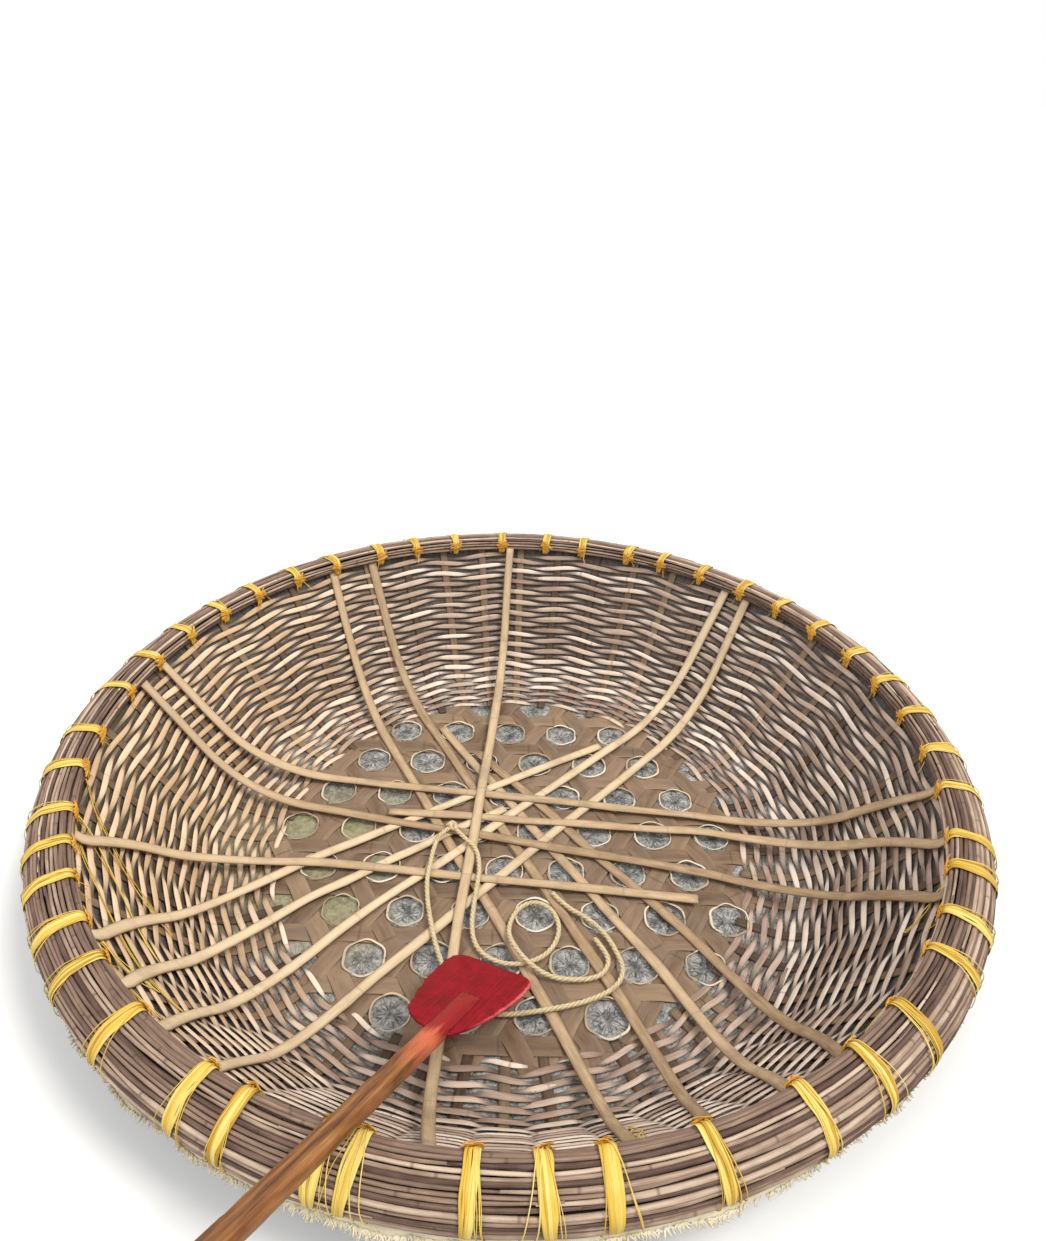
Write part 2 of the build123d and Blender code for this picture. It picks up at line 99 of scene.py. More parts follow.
def smooth_steps(count, spacing):
    """0 to 1 and back to 0 along count values, over a few of them at each end."""
    place = np.arange(count)
    return clamp(np.minimum(place, place[::-1]) / spacing)


def run_along(points):
    """Distance along a line to each of its points."""
    return np.concatenate([[0], np.cumsum(np.linalg.norm(np.diff(points, axis=0), axis=1))])


def evenly(points, count):
    """A line redrawn as count points at even steps, and the distance to each."""
    run = run_along(points)
    even = np.linspace(0, run[-1], count)
    return np.stack([np.interp(even, run, column) for column in points.T], -1), even


def widths(across):
    """Scale factors that change a section's width alone."""
    return np.stack([across, np.ones_like(across)], -1)


def frames(path, towards):
    """Side and up vectors along a path whose upper side faces the way towards says."""
    along = unit(np.gradient(path, axis=0))
    side = unit(np.cross(along, towards))
    return side, unit(np.cross(side, along))


def show(name, data):
    """A new object in the scene, with its data."""
    obj = bpy.data.objects.new(name, data)
    scene.collection.objects.link(obj)
    return obj


class Shape:
    """Collects swept pieces and sheets into one mesh, with a grain map, a tone and a wear for each; the wear also
    carries painted shade on the wall and rope, and a painted highlight on the blade.
    """

    def __init__(self):
        self.points, self.faces, self.uv, self.tone, self.wear = [], [], [], [], []
        self.count = 0

    def add(self, points, faces, uv, tone, wear):
        self.points.append(points)
        self.faces.extend([[i + self.count for i in face] for face in faces])
        self.uv.append(uv)
        self.tone.append(np.broadcast_to(tone, (len(points),)))
        self.wear.append(np.broadcast_to(wear, (len(points),)))
        self.count += len(points)

    def sweep(self, path, side, up, section, tone=0.5, closed=False, wear=0.0, scale=None, start=0.0):
        """Sweeps section, rows of side and up offsets, along path."""
        section = np.asarray(section, float)
        if section.ndim == 2:
            section = np.broadcast_to(section, (len(path),) + section.shape)
        if scale is not None:
            section = section * np.asarray(scale).reshape(len(path), 1, -1)
        m = section.shape[1]
        points = path[:, None] + section[..., :1] * side[:, None] + section[..., 1:] * up[:, None]
        rows = len(path) if closed else len(path) - 1
        i, j = np.meshgrid(np.arange(rows), np.arange(m), indexing="ij")
        n, k = (i + 1) % len(path), (j + 1) % m
        faces = np.stack([i * m + j, i * m + k, n * m + k, n * m + j], -1).reshape(-1, 4).tolist()
        if not closed:
            faces += [list(range(m))[::-1], [(len(path) - 1) * m + j for j in range(m)]]
        uv = np.stack([np.repeat(run_along(path) + start, m), section[..., 0].reshape(-1) + tone * 9], -1)
        self.add(points.reshape(-1, 3), faces, uv, tone, np.broadcast_to(wear, (len(path), m)).reshape(-1))

    def lay(self, path, towards, section, **looks):
        """Sweeps section along path, its upper side facing the way towards says."""
        self.sweep(path, *frames(path, towards), section, **looks)

    def grid(self, rows, uv, closed=False, wear=0.0):
        """Joins rows of points into a sheet of middle tone; closed joins the last row to the first."""
        count, m = rows.shape[:2]
        i, j = np.meshgrid(np.arange(count if closed else count - 1), np.arange(m - 1), indexing="ij")
        n = (i + 1) % count
        faces = np.stack([i * m + j, n * m + j, n * m + j + 1, i * m + j + 1], -1).reshape(-1, 4)
        self.add(rows.reshape(-1, 3), faces.tolist(), uv.reshape(-1, 2), 0.5, wear)

    def build(self, name, material, slot, *replaces, body="hull"):
        """Makes the object that stands for the CAD nodes named last, with its material and body; slot is not used."""
        mesh = bpy.data.meshes.new(name)
        points, uv = np.concatenate(self.points), np.concatenate(self.uv)
        mesh.from_pydata(points.tolist(), [], self.faces)
        loops = np.zeros(len(mesh.loops), int)
        mesh.loops.foreach_get("vertex_index", loops)
        mesh.uv_layers.new(name="grain").data.foreach_set("uv", uv[loops].astype(np.float32).reshape(-1))
        for key, values in (("tone", self.tone), ("wear", self.wear)):
            layer = mesh.attributes.new(key, "FLOAT", "POINT")
            layer.data.foreach_set("value", np.concatenate(values).astype(np.float32))
        mesh.polygons.foreach_set("use_smooth", [True] * len(mesh.polygons))
        mesh.materials.append(material)
        mesh.update()
        obj = show(name, mesh)
        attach(obj, body)
        if replaces:
            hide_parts(*replaces)
        return obj


def flat_section(width, thick):
    """A split: flat below and a little crowned above, as six corners."""
    w, t = width / 2, thick / 2
    return [(-w, -t), (w, -t), (w, 0.3 * t), (0.55 * w, t), (-0.55 * w, t), (-w, 0.3 * t)]


def round_section(radius, count):
    return around(circle(count), radius, 0)[:, :2]


# Sockets of the mix node for the amount and the two colours, and the one that gives the mixed colour
MIX_INPUTS, MIX_OUTPUT = (0, 6, 7), 2


class Nodes:
    """Short names for the shader nodes of a material or a world."""

    def __init__(self, owner):
        owner.use_nodes = True
        self.owner, self.tree = owner, owner.node_tree

    def new(self, kind, **inputs):
        node = self.tree.nodes.new("ShaderNode" + kind)
        for key, value in inputs.items():
            self.put(node.inputs[key.replace("_", " ")], value)
        return node

    def put(self, socket, value):
        if isinstance(value, bpy.types.NodeSocket):
            self.tree.links.new(value, socket)
        else:
            socket.default_value = value

    def attribute(self, name):
        node = self.new("Attribute")
        node.attribute_name = name
        return node.outputs["Fac"]

    def grain(self, along, across):
        """The grain map, stretched."""
        uv = self.new("UVMap")
        uv.uv_map = "grain"
        return self.new("Mapping", Vector=uv.outputs["UV"], Scale=(along, across, 1)).outputs["Vector"]

    def place(self):
        return self.new("TexCoord").outputs["Object"]

    def noise(self, vector, scale, detail=4.0, rough=0.55):
        return self.new("TexNoise", Vector=vector, Scale=scale, Detail=detail, Roughness=rough).outputs["Fac"]

    def cracks(self, vector, scale):
        """Distance to the nearest edge between cells."""
        node = self.new("TexVoronoi", Vector=vector, Scale=scale)
        node.feature = "DISTANCE_TO_EDGE"
        return node.outputs["Distance"]

    def math(self, operation, a, b=0.0):
        node = self.new("Math")
        node.operation = operation
        self.put(node.inputs[0], a)
        self.put(node.inputs[1], b)
        return node.outputs[0]

    def times(self, a, b):
        return self.math("MULTIPLY", a, b)

    def plus(self, a, b):
        return self.math("ADD", a, b)

    def span(self, value, low, high):
        """0 at low, 1 at high, clamped between."""
        return self.new("MapRange", Value=value, From_Min=low, From_Max=high).outputs["Result"]

    def ramp(self, value, *stops):
        """Colours along value; each stop is a place and its colour."""
        node = self.new("ValToRGB", Fac=value)
        points = node.color_ramp.elements
        while len(points) < len(stops):
            points.new(0.5)
        for point, stop in zip(points, stops):
            point.position, point.color = stop
        return node.outputs["Color"]

    def greys(self, value, low, high):
        """Greys from low to high over the middle of a noise."""
        return self.ramp(value, (0.3, (low, low, low, 1)), (0.7, (high, high, high, 1)))

    def mix(self, amount, a, b):
        """Colour a, turning into b as amount goes from 0 to 1."""
        node = self.new("Mix")
        node.data_type = "RGBA"
        for k, value in zip(MIX_INPUTS, (amount, a, b)):
            self.put(node.inputs[k], value)
        return node.outputs[MIX_OUTPUT]

    def tint(self, colour, rgb, place, amount):
        """The colour, turned by amount towards a 0 to 255 colour where place is 1."""
        return self.mix(self.times(place, amount), colour, srgb(*rgb))

    def bump(self, height, strength, distance):
        node = self.new("Bump", Height=height, Strength=strength, Distance=distance)
        self.put(self.tree.nodes["Principled BSDF"].inputs["Normal"], node.outputs["Normal"])

    def finish(self, colour, rough, specular):
        """The material, with what its shader shows."""
        looks = {"Base Color": colour, "Roughness": rough, "Specular IOR Level": specular}
        for key, value in looks.items():
            self.put(self.tree.nodes["Principled BSDF"].inputs[key], value)
        return self.owner


def material_nodes(name):
    return Nodes(bpy.data.materials.new(name))


def srgb(*values):
    """Linear colour of 0 to 255 values, opaque."""
    linear = [c / 12.92 if c <= 0.04045 else ((c + 0.055) / 1.055) ** 2.4 for c in np.array(values) / 255]
    return (*linear, 1)


# Distance between the joints of a split
JOINT_SPACING = 0.37


def bamboo(name, dark, middle, light, stain, edge=None, stained=0.5, joint_depth=0.5, left=None):
    """Dry split bamboo: fibres along the grain, a tone for each split, stains and joints; left is painted light on
    the boat's left side, and edge a colour led by the wear attribute.
    """
    m = material_nodes("bamboo_" + name)
    tone = m.attribute("tone")
    fibres = m.noise(m.grain(9, 420), 1, 5, 0.6)
    blotch = m.noise(m.grain(14, 60), 1, 3)
    value = m.plus(m.times(fibres, 0.5), m.times(tone, 0.58))
    value = m.plus(value, m.times(m.math("SUBTRACT", blotch, 0.5), 0.45))
    colour = m.ramp(value, (0.22, srgb(*dark)), (0.52, srgb(*middle)), (0.82, srgb(*light)))
    dirt = m.noise(m.place(), 9, 5, 0.65)
    colour = m.tint(colour, stain, m.span(dirt, 0.5, 0.72), stained)
    uv = m.new("SeparateXYZ", Vector=m.grain(1 / JOINT_SPACING, 1))
    turn = m.math("FRACT", m.plus(uv.outputs["X"], m.times(tone, 7.3)))
    joint = m.span(m.math("ABSOLUTE", m.math("SUBTRACT", turn, 0.5)), 0.013, 0.004)
    colour = m.tint(colour, dark, joint, joint_depth)
    # Painted light: splits on the boat's left side lightened, where the wall faces the light.
    if left:
        x = m.new("SeparateXYZ", Vector=m.place()).outputs["X"]
        colour = m.tint(colour, left, m.span(x, -0.35, -0.95), 0.5)
    # The edge colour follows the wear attribute: pale worn edges on the floor, darker sides and underside on the
    # ribs, and painted shade where the wall's sticks pass behind stakes.
    if edge:
        colour = m.tint(colour, edge, m.attribute("wear"), 0.85)
    m.bump(m.plus(fibres, m.times(joint, joint_depth)), 0.5, 0.0012)
    return m.finish(colour, m.greys(blotch, 0.5, 0.75), 0.3)


# The wall's edge colour is painted shade on sticks behind the stakes, and its left colour is painted light on the
# boat's left side.
wall_bamboo = bamboo("wall", (146, 121, 106), (208, 186, 168), (238, 222, 206), (162, 136, 122),
                     edge=(90, 74, 65), stained=0.35, left=(246, 208, 156))
stake_bamboo = bamboo("stakes", (62, 48, 38), (106, 86, 68), (142, 120, 94), (66, 52, 42))
floor_bamboo = bamboo("floor", (80, 62, 48), (126, 102, 82), (156, 132, 106), (118, 106, 94),
                      edge=(164, 142, 114), stained=0.8)
ring_bamboo = bamboo("ring", (150, 130, 106), (206, 190, 164), (228, 216, 196), (140, 118, 96))
# The ribs' left colour is painted light on the boat's left side.
rib_bamboo = bamboo("rib", (136, 110, 82), (194, 168, 134), (222, 202, 168), (140, 114, 90),
                    edge=(128, 100, 74), joint_depth=0.28, left=(228, 202, 166))
rim_bamboo = bamboo("rim", (82, 61, 52), (144, 119, 102), (206, 184, 162), (116, 90, 82))
# Near-black tones: painted shade for the core, seen in the gaps between the canes.
shaded_core_bamboo = bamboo("core", (34, 26, 22), (62, 48, 42), (92, 76, 64), (30, 24, 20))


def skin_material():
    """Waterproof skin: grey coat in cracked plates, olive cloth on the left, and painted shade darkening it behind
    the wall.
    """
    m = material_nodes("skin")
    place = m.place()
    warp = m.new("TexNoise", Vector=place, Scale=22.0, Detail=3.0).outputs["Color"]
    bent = m.mix(0.045, place, warp)
    crack = m.cracks(bent, 58)
    fine = m.cracks(bent, 150)
    cloud = m.noise(place, 34, 6, 0.7)
    centre = m.attribute("wear")
    colour = m.ramp(cloud, (0.28, srgb(96, 96, 94)), (0.5, srgb(156, 156, 152)), (0.72, srgb(208, 206, 202)))
    lines = m.times(m.span(crack, 0.08, 0.02), m.span(cloud, 0.66, 0.42))
    colour = m.tint(colour, (50, 50, 52), lines, 0.8)
    colour = m.tint(colour, (74, 74, 74), m.span(fine, 0.07, 0.02), 0.35)
    spokes = m.cracks(m.grain(22, 100), 1)
    rays = m.times(m.span(spokes, 0.11, 0.02), m.span(centre, 0.12, 0.6))
    heart = m.times(m.span(centre, 0.55, 0.95), m.span(cloud, 0.66, 0.4))
    colour = m.tint(colour, (44, 46, 48), m.math("MAXIMUM", rays, heart), 0.85)
    x, y, z = m.new("SeparateXYZ", Vector=place).outputs
    cloth = m.ramp(m.noise(place, 70, 4), (0.3, srgb(114, 110, 84)), (0.7, srgb(164, 158, 126)))
    left = m.times(m.span(x, -0.3, -0.42), m.span(y, -0.46, -0.34))
    colour = m.mix(m.times(left, m.span(y, 0.3, 0.1)), colour, cloth)
    # Painted shade: the skin darkened above the floor, seen through the gaps in the wall.
    colour = m.tint(colour, (58, 47, 40), m.span(z, 0.01, 0.05), 0.8)
    m.bump(m.plus(m.times(m.span(crack, 0, 0.12), 0.8), m.noise(place, 160)), 0.5, 0.0015)
    return m.finish(colour, 0.62, 0.35)


def plastic_material():
    """Yellow plastic twine, split into fine ribbons, orange where it is knotted."""
    m = material_nodes("plastic_strap")
    lines = m.noise(m.grain(6, 900), 1, 3)
    value = m.plus(m.times(lines, 0.6), m.times(m.attribute("tone"), 0.4))
    colour = m.ramp(value, (0.3, srgb(178, 134, 34)), (0.48, srgb(216, 180, 66)), (0.7, srgb(234, 212, 124)))
    colour = m.tint(colour, (222, 150, 34), m.attribute("wear"), 0.85)
    m.bump(lines, 0.6, 0.0008)
    return m.finish(colour, 0.45, 0.45)


def rope_material():
    """Laid fibre rope, pale straw with dirt in patches, and painted shade in the grooves between its strands."""
    m = material_nodes("rope")
    fibres = m.noise(m.grain(60, 700), 1, 4)
    dirt = m.noise(m.place(), 24, 4)
    colour = m.ramp(fibres, (0.25, srgb(168, 146, 108)), (0.5, srgb(216, 198, 158)), (0.78, srgb(236, 224, 192)))
    colour = m.tint(colour, (158, 134, 98), m.span(dirt, 0.52, 0.78), 0.4)
    # Painted shade in the grooves between the strands, from the wear attribute.
    colour = m.tint(colour, (118, 96, 68), m.attribute("wear"), 0.5)
    m.bump(fibres, 0.6, 0.0008)
    return m.finish(colour, 0.85, 0.2)


def blade_material():
    """Red paint over wood: brushed, thin and pink along its edges from wear, pinker along the right edge as a painted
    highlight, with bare scars.
    """
    m = material_nodes("red_paint")
    place = m.place()
    brush = m.noise(m.grain(5, 160), 1, 4)
    cloud = m.noise(place, 24, 5, 0.7)
    value = m.plus(m.times(brush, 0.5), m.times(cloud, 0.5))
    colour = m.ramp(value, (0.3, srgb(96, 0, 14)), (0.5, srgb(140, 2, 24)), (0.7, srgb(168, 12, 34)))
    # Pink from the wear attribute: worn paint at the edges, and a painted highlight along the right edge.
    rub_and_highlight = m.plus(m.times(m.attribute("wear"), 0.9), m.times(cloud, 0.55))
    colour = m.mix(m.span(rub_and_highlight, 0.72, 1), colour, srgb(226, 92, 104))
    colour = m.mix(m.span(rub_and_highlight, 1.1, 1.25), colour, srgb(198, 150, 118))
    m.bump(m.plus(brush, m.times(cloud, 1.5)), 0.4, 0.002)
    return m.finish(colour, m.greys(cloud, 0.45, 0.65), 0.25)


def shaft_material():
    """Varnished pole: dark streaks, worn grain and a flame of red paint by the blade."""
    m = material_nodes("varnished_wood")
    streak = m.noise(m.grain(3, 90), 1, 6, 0.65)
    fibres = m.noise(m.grain(16, 520), 1, 3)
    patch = m.noise(m.grain(5, 26), 1, 3)
    value = m.plus(m.times(streak, 0.6), m.times(fibres, 0.2))
    value = m.plus(value, m.times(patch, 0.25))
    colour = m.ramp(value, (0.4, srgb(52, 28, 16)), (0.49, srgb(116, 72, 36)), (0.59, srgb(160, 106, 58)),
                    (0.72, srgb(198, 150, 98)))
    smear = m.plus(m.attribute("wear"), m.times(m.math("SUBTRACT", streak, 0.5), 1.4))
    colour = m.tint(colour, (222, 112, 78), m.span(smear, 0.25, 0.85), 0.8)
    colour = m.tint(colour, (150, 4, 26), m.span(smear, 0.9, 1.1), 0.96)
    m.bump(value, 0.5, 0.002)
    return m.finish(colour, 0.42, 0.5)


def sacking_material():
    """Sacking: a pale weave with loose ends, dirty where it turns under the rim."""
    m = material_nodes("sacking")
    weave = m.noise(m.grain(420, 420), 1, 2)
    cloud = m.noise(m.place(), 16, 5, 0.7)
    value = m.plus(m.times(weave, 0.4), m.times(cloud, 0.6))
    colour = m.ramp(value, (0.3, srgb(196, 184, 150)), (0.5, srgb(236, 228, 200)), (0.7, srgb(250, 246, 230)))
    colour = m.tint(colour, (96, 78, 62), m.attribute("wear"), 0.85)
    m.bump(weave, 0.6, 0.0012)
    return m.finish(colour, 0.9, 0.2)


skin, plastic, rope_fibre = skin_material(), plastic_material(), rope_material()
red_paint, varnish, sacking = blade_material(), shaft_material(), sacking_material()

# Skin, drawn a little inside the source's skin
SKIN_THICK, SKIN_INSET = 0.004, 0.0006
SKIN_TURNS = 288
QUILT, QUILT_START = 0.0011, 0.2


def skin_shell():
    """The skin as one smooth shell, pressed out a little between the stakes."""
    theta = circle(SKIN_TURNS)[:, None]
    s = np.concatenate([np.linspace(-FLOOR_R + 0.002, -0.03, 22), np.linspace(0, WALL_TOP - 0.004, 42)])[None]
    quilt = QUILT * np.cos(BAYS * theta) * clamp(s / QUILT_START)
    outer, inner = [around(theta, *bowl(s, n + quilt)) for n in (SKIN_INSET, SKIN_THICK + SKIN_INSET)]
    rows = np.concatenate([outer, inner[:, ::-1], outer[:, :1]], 1)
    shape = Shape()
    shape.grid(rows[::-1], rows[::-1, :, :2], closed=True)
    shape.build("skin_shell", skin, "skin", "hull_skin")


skin_shell()

# Woven floor: cells between splits, as in the part
CELL, CELL_CENTRE = 0.16, np.array([-0.02, -0.11])
STRIP_HALF, STRIP_END, STRIP_STEP = 0.0262, 0.752, 0.008
# Height of a split's middle, how far it swings up and down, and over what length
STRIP_MIDDLE, STRIP_SWING, STRIP_CLIMB = 0.0112, 0.004, 0.085
# Where splits dip under the wall's foot: radius, length and lowest height
DIP_START, DIP_RUN, DIP_HEIGHT = 0.69, 0.05, 0.0074
HEADINGS = [0, TURN / 6, TURN / 3]
ASIDES = [np.array([-math.sin(h), math.cos(h)]) for h in HEADINGS]
STRIP_SECTION = [(-1, -0.0016), (1, -0.0016), (1, 0.0004), (0.93, 0.0015), (0.3, 0.0021), (-0.3, 0.0021),
                 (-0.93, 0.0015), (-1, 0.0004)]
STRIP_EDGE = np.array([0.5, 0.5, 0.6, 0.3, 0, 0, 0.3, 0.6])


def floor_weave():
    """Three families of splits, each over one neighbour and under the other."""
    shape = Shape()
    for family, (h, aside) in enumerate(zip(HEADINGS, ASIDES)):
        direction = np.array([math.cos(h), math.sin(h)])
        for count in range(-6, 6):
            across = aside @ CELL_CENTRE + (count + 0.5) * CELL
            reach = abs(across) + STRIP_HALF
            if reach > STRIP_END:
                continue
            half = math.sqrt(STRIP_END ** 2 - reach ** 2)
            x = np.linspace(-half, half, int(half * 2 / STRIP_STEP) + 3)
            ground = direction * x[:, None] + aside * across
            lift = np.zeros(len(x))
            for other, sign in (((family + 1) % 3, 1.0), ((family + 2) % 3, -1.0)):
                off = (ground - CELL_CENTRE) @ ASIDES[other] / CELL - 0.5
                lift += sign * clamp(1 - np.abs(off - np.round(off)) * CELL / STRIP_CLIMB) ** 0.8
            dip = clamp((np.linalg.norm(ground, axis=1) - DIP_START) / DIP_RUN)
            z = (STRIP_MIDDLE + STRIP_SWING * np.tanh(1.6 * lift)) * (1 - dip) + DIP_HEIGHT * dip
            path = np.concatenate([ground, z[:, None]], 1)
            path[:, :2] += aside * wander(len(x), 6, 0.0012)[:, None]
            scale = widths(np.full(len(x), STRIP_HALF + normal() * 0.0006))
            shape.lay(path, UP, STRIP_SECTION, tone=uniform(0.2, 0.8), wear=STRIP_EDGE, scale=scale,
                      start=uniform(0, 3))
    shape.build("floor_weave", floor_bamboo, "bamboo_floor", "floor_strips_across", "floor_strips_right",
                "floor_strips_left")


# Holes: their size, and how far from the bowl's middle one still shows, and still has a rim
HOLE_RADIUS, HOLE_LIMIT, RIM_LIMIT = 0.0555, 0.735, 0.69
HOLE_TURNS, HOLE_RINGS = 37, 9
# Panes of skin: height at their edge, the most they swell, and their size beside the hole's
PANE_BASE, PANE_SWELL, PANE_SPREAD = 0.0054, 0.0032, 1.09
RING_HEIGHT, RING_THICK = 0.018, 0.0012


def hole_centres():
    """Centres of the floor's six-sided holes that lie clear of the wall's foot."""
    steps = [(i, j) for i in range(-9, 10) for j in range(-9, 10)]
    centres = [CELL_CENTRE + CELL * np.array([-(i + j) / math.sqrt(3), i - j]) for i, j in steps]
    return [centre for centre in centres if np.linalg.norm(centre) < HOLE_LIMIT]


def floor_holes():
    """A pane of skin in each hole, swelling a little, and a pale rim of bark round it."""
    panes, rings = Shape(), Shape()
    a = np.linspace(0, TURN, HOLE_TURNS)
    compass = around(a, 1, 0)[:, :2]
    f = np.linspace(0, 1, HOLE_RINGS)
    for centre in hole_centres():
        size = HOLE_RADIUS * uniform(0.93, 1.05)
        corner = 1 + uniform(0.015, 0.045) * np.cos(6 * a + math.pi)
        outline = size * (corner + wander(HOLE_TURNS, 3, 0.012) * smooth_steps(HOLE_TURNS, 6))
        height = PANE_BASE + PANE_SWELL * uniform(0.2, 1) * (1 - f ** 2)
        plan = f[:, None] * outline[:, None, None] * PANE_SPREAD * compass[:, None]
        rows = np.concatenate([centre + plan, np.broadcast_to(height[:, None], (HOLE_TURNS, HOLE_RINGS, 1))], -1)
        turned = np.broadcast_to(a[:, None] + uniform(0, TURN), (HOLE_TURNS, HOLE_RINGS))
        uv = np.stack([np.broadcast_to(f * size + uniform(0, 3), turned.shape), turned * 0.03], -1)
        panes.grid(rows, uv, wear=np.tile(1 - f, HOLE_TURNS))
        if np.linalg.norm(centre) > RIM_LIMIT:
            continue
        for part in (slice(0, 13), slice(12, 25), slice(24, 37)):
            plan = centre + outline[part, None] * compass[part]
            path = np.column_stack([plan, RING_HEIGHT + wander(len(plan), 2, 0.0003)])
            wide = uniform(0.0034, 0.0074) * (0.6 + 0.4 * smooth_steps(len(plan), 3))
            rings.lay(path, UP, flat_section(1.0, RING_THICK), tone=uniform(), scale=widths(wide),
                      start=uniform(0, 3))
    panes.build("skin_panes", skin, "skin")
    rings.build("hole_rims", ring_bamboo, "bamboo_floor")


floor_weave()
floor_holes()

# Wall: stakes, and rows of splits that pass inside one stake and outside the next
STAKE_FOOT, STAKE_TOP, STAKE_MIDDLE = -0.09, 0.62, 0.0115
STAKE_WIDE, STAKE_THICK, STAKE_STEPS = 0.027, 0.0036, 48
ROWS, PITCH, FIRST_ROW = 32, 0.0206, -0.071
# How far a stick swings in and out, its rise over a bay, its width and thickness
SWING, CHEVRON, STICK, STICK_THICK = 0.0052, 0.005, 0.0172, 0.0028
# Points of a stick over one bay, and how far its ends lap, in radians
BAY_STEPS, STICK_LAP = 9, 0.07


def wall_stakes():
    shape = Shape()
    s = np.linspace(STAKE_FOOT, STAKE_TOP, STAKE_STEPS)
    for theta in circle(BAYS):
        path = around(theta, *bowl(s, STAKE_MIDDLE))
        shape.lay(path, inwards(theta, s), flat_section(STAKE_WIDE, STAKE_THICK), tone=uniform())
    shape.build("stakes", stake_bamboo, "bamboo_wall", "wall_stakes")


def wall_weave():
    """Rows of split sticks; all of them rise over one bay and fall over the next, as chevrons."""
    shape = Shape()
    for row in range(ROWS):
        start = uniform(0, TURN)
        cuts = start + np.concatenate([[0], np.cumsum(uniform(0.85, 1.15, 4))]) / 4 * TURN
        cuts[-1] = start + TURN
        for a, b in zip(cuts, cuts[1:]):
            theta = np.arange(a - STICK_LAP, b + STICK_LAP, TURN / BAYS / BAY_STEPS)
            phase = BAYS / 2 * theta + row * math.pi
            chevron = CHEVRON * (-1) ** row * np.sin(phase) * (1 + wander(len(theta), 5, 0.3))
            s = FIRST_ROW + PITCH * row + wander(len(theta), 9, 0.0014) + chevron
            swing = np.tanh(1.7 * np.cos(phase)) / math.tanh(1.7)
            n = STAKE_MIDDLE + SWING * swing + 0.0004 * normal()
            path = around(theta, *bowl(s, n))
            width = STICK + normal() * 0.0013 + wander(len(theta), 7, 0.0007)
            width = width * (0.6 + 0.4 * clamp(swing)) * (0.35 + 0.65 * smooth_steps(len(theta), 3))
            # Painted shade: sticks darkened where they dip outwards behind a stake.
            behind_stake_shade = clamp(0.4 - 0.7 * swing)[:, None]
            shape.lay(path, inwards(theta, s), flat_section(1.0, STICK_THICK), tone=uniform(),
                      scale=widths(width), wear=behind_stake_shade, start=uniform(0, 3))
    shape.build("weave", wall_bamboo, "bamboo_wall", "wall_weavers", "knuckle_hoops")


wall_stakes()
wall_weave()

# Ribs, as in the part. Columns: name, heading, offset of the middle, layer, azimuth where the
# end behind meets the rim, the same for the end ahead, and how far an end on the floor reaches
RIBS = [
    ("rib_right_1", 45, -0.085, 1, 232.3, 49.3, None),
    ("rib_right_2", 48, 0.07, 1, 240.3, 44.5, None),
    ("rib_right_3", 35, -0.134, 1, 225, None, 0.06),
    ("rib_right_4", 32, -0.239, 1, 217, None, 0.5),
    ("rib_left_1", 118, -0.174, 0, 282.1, 126.9, None),
    ("rib_left_2", 119, 0, 0, 289.6, 119, None),
    ("rib_left_3", 124, 0.089, 0, 299, None, 0.6),
    ("rib_left_4", 130, 0.173, 0, 306.4, None, 0.4),
    ("rib_cross_1", 169.5, 0, 2, 333, 169.5, None),
    ("rib_cross_2", 177, 0.09, 2, 342.5, None, 0.4),
    ("rib_cross_3", 175, -0.16, 2, None, 201, 0.56),
    ("rib_cross_4", 174, 0.19, 2, 351.9, 164.3, None),
    ("rib_ahead", 86, -0.12, 3, 263.2, 92.1, None),
]
# Tones of the ribs by their names' second word, from dark to pale
RIB_TONES = {"right": (0.6, 0.95), "left": (0.15, 0.5), "cross": (0.1, 0.45), "ahead": (0.55, 0.7)}
RIB_HALF, RIB_THICK = 0.017, 0.0045
# Height of the lowest layer's underside, and of each layer over the one below
RIB_BASE, LAYER = 0.0196, 0.0048
# Radius of the bend up the wall, where a rib starts to turn aside, where it has, and its very end
RIB_BEND, RIB_TURN_START, RIB_TOP, RIB_TUCK = 0.45, 0.54, 0.56, 0.592
RIB_BEND_START = FLOOR_R - (RIB_BEND - KNUCKLE_R) * math.tan(WALL / 2)
RIB_SECTION = [(-1, -0.0022), (1, -0.0022), (1, -0.0004), (0.82, 0.0014), (0.4, 0.0022), (0, 0.0024),
               (-0.4, 0.0022), (-0.82, 0.0014), (-1, -0.0004)]
RIB_EDGE = np.array([1, 1, 0.9, 0.35, 0, 0, 0, 0.35, 0.9])


def rib_climb(n):
    """Radius, height and tilt along an end that climbs, n inwards of the skin."""
    tilt = np.linspace(0, WALL, 16)
    turned = RIB_BEND - n
    bend = np.stack([RIB_BEND_START + turned * np.sin(tilt), RIB_BEND - turned * np.cos(tilt), tilt], -1)
    foot = np.stack([np.linspace(RIB_TURN_START, RIB_BEND_START, 6)[:-1], np.full(5, n), np.zeros(5)], -1)
    top = np.array([*bowl(RIB_TUCK, n), WALL])
    wall = bend[-1] + (top - bend[-1]) * np.linspace(0, 1, 13)[1:, None]
    return np.concatenate([foot, bend, wall])


def rib_end(straight_on, landing, n):
    """Points and inward directions of an end, from the floor up to where it meets the rim."""
    radius, height, tilt = rib_climb(n).T
    top_radius = float(bowl(RIB_TOP, n)[0])
    turn = landing - straight_on(top_radius)
    part = (radius - RIB_TURN_START) / (top_radius - RIB_TURN_START)
    a = np.radians(straight_on(radius) + turn * np.minimum(part, 1) ** 2)
    return around(a, radius, height), around(a, -np.sin(tilt), np.cos(tilt))


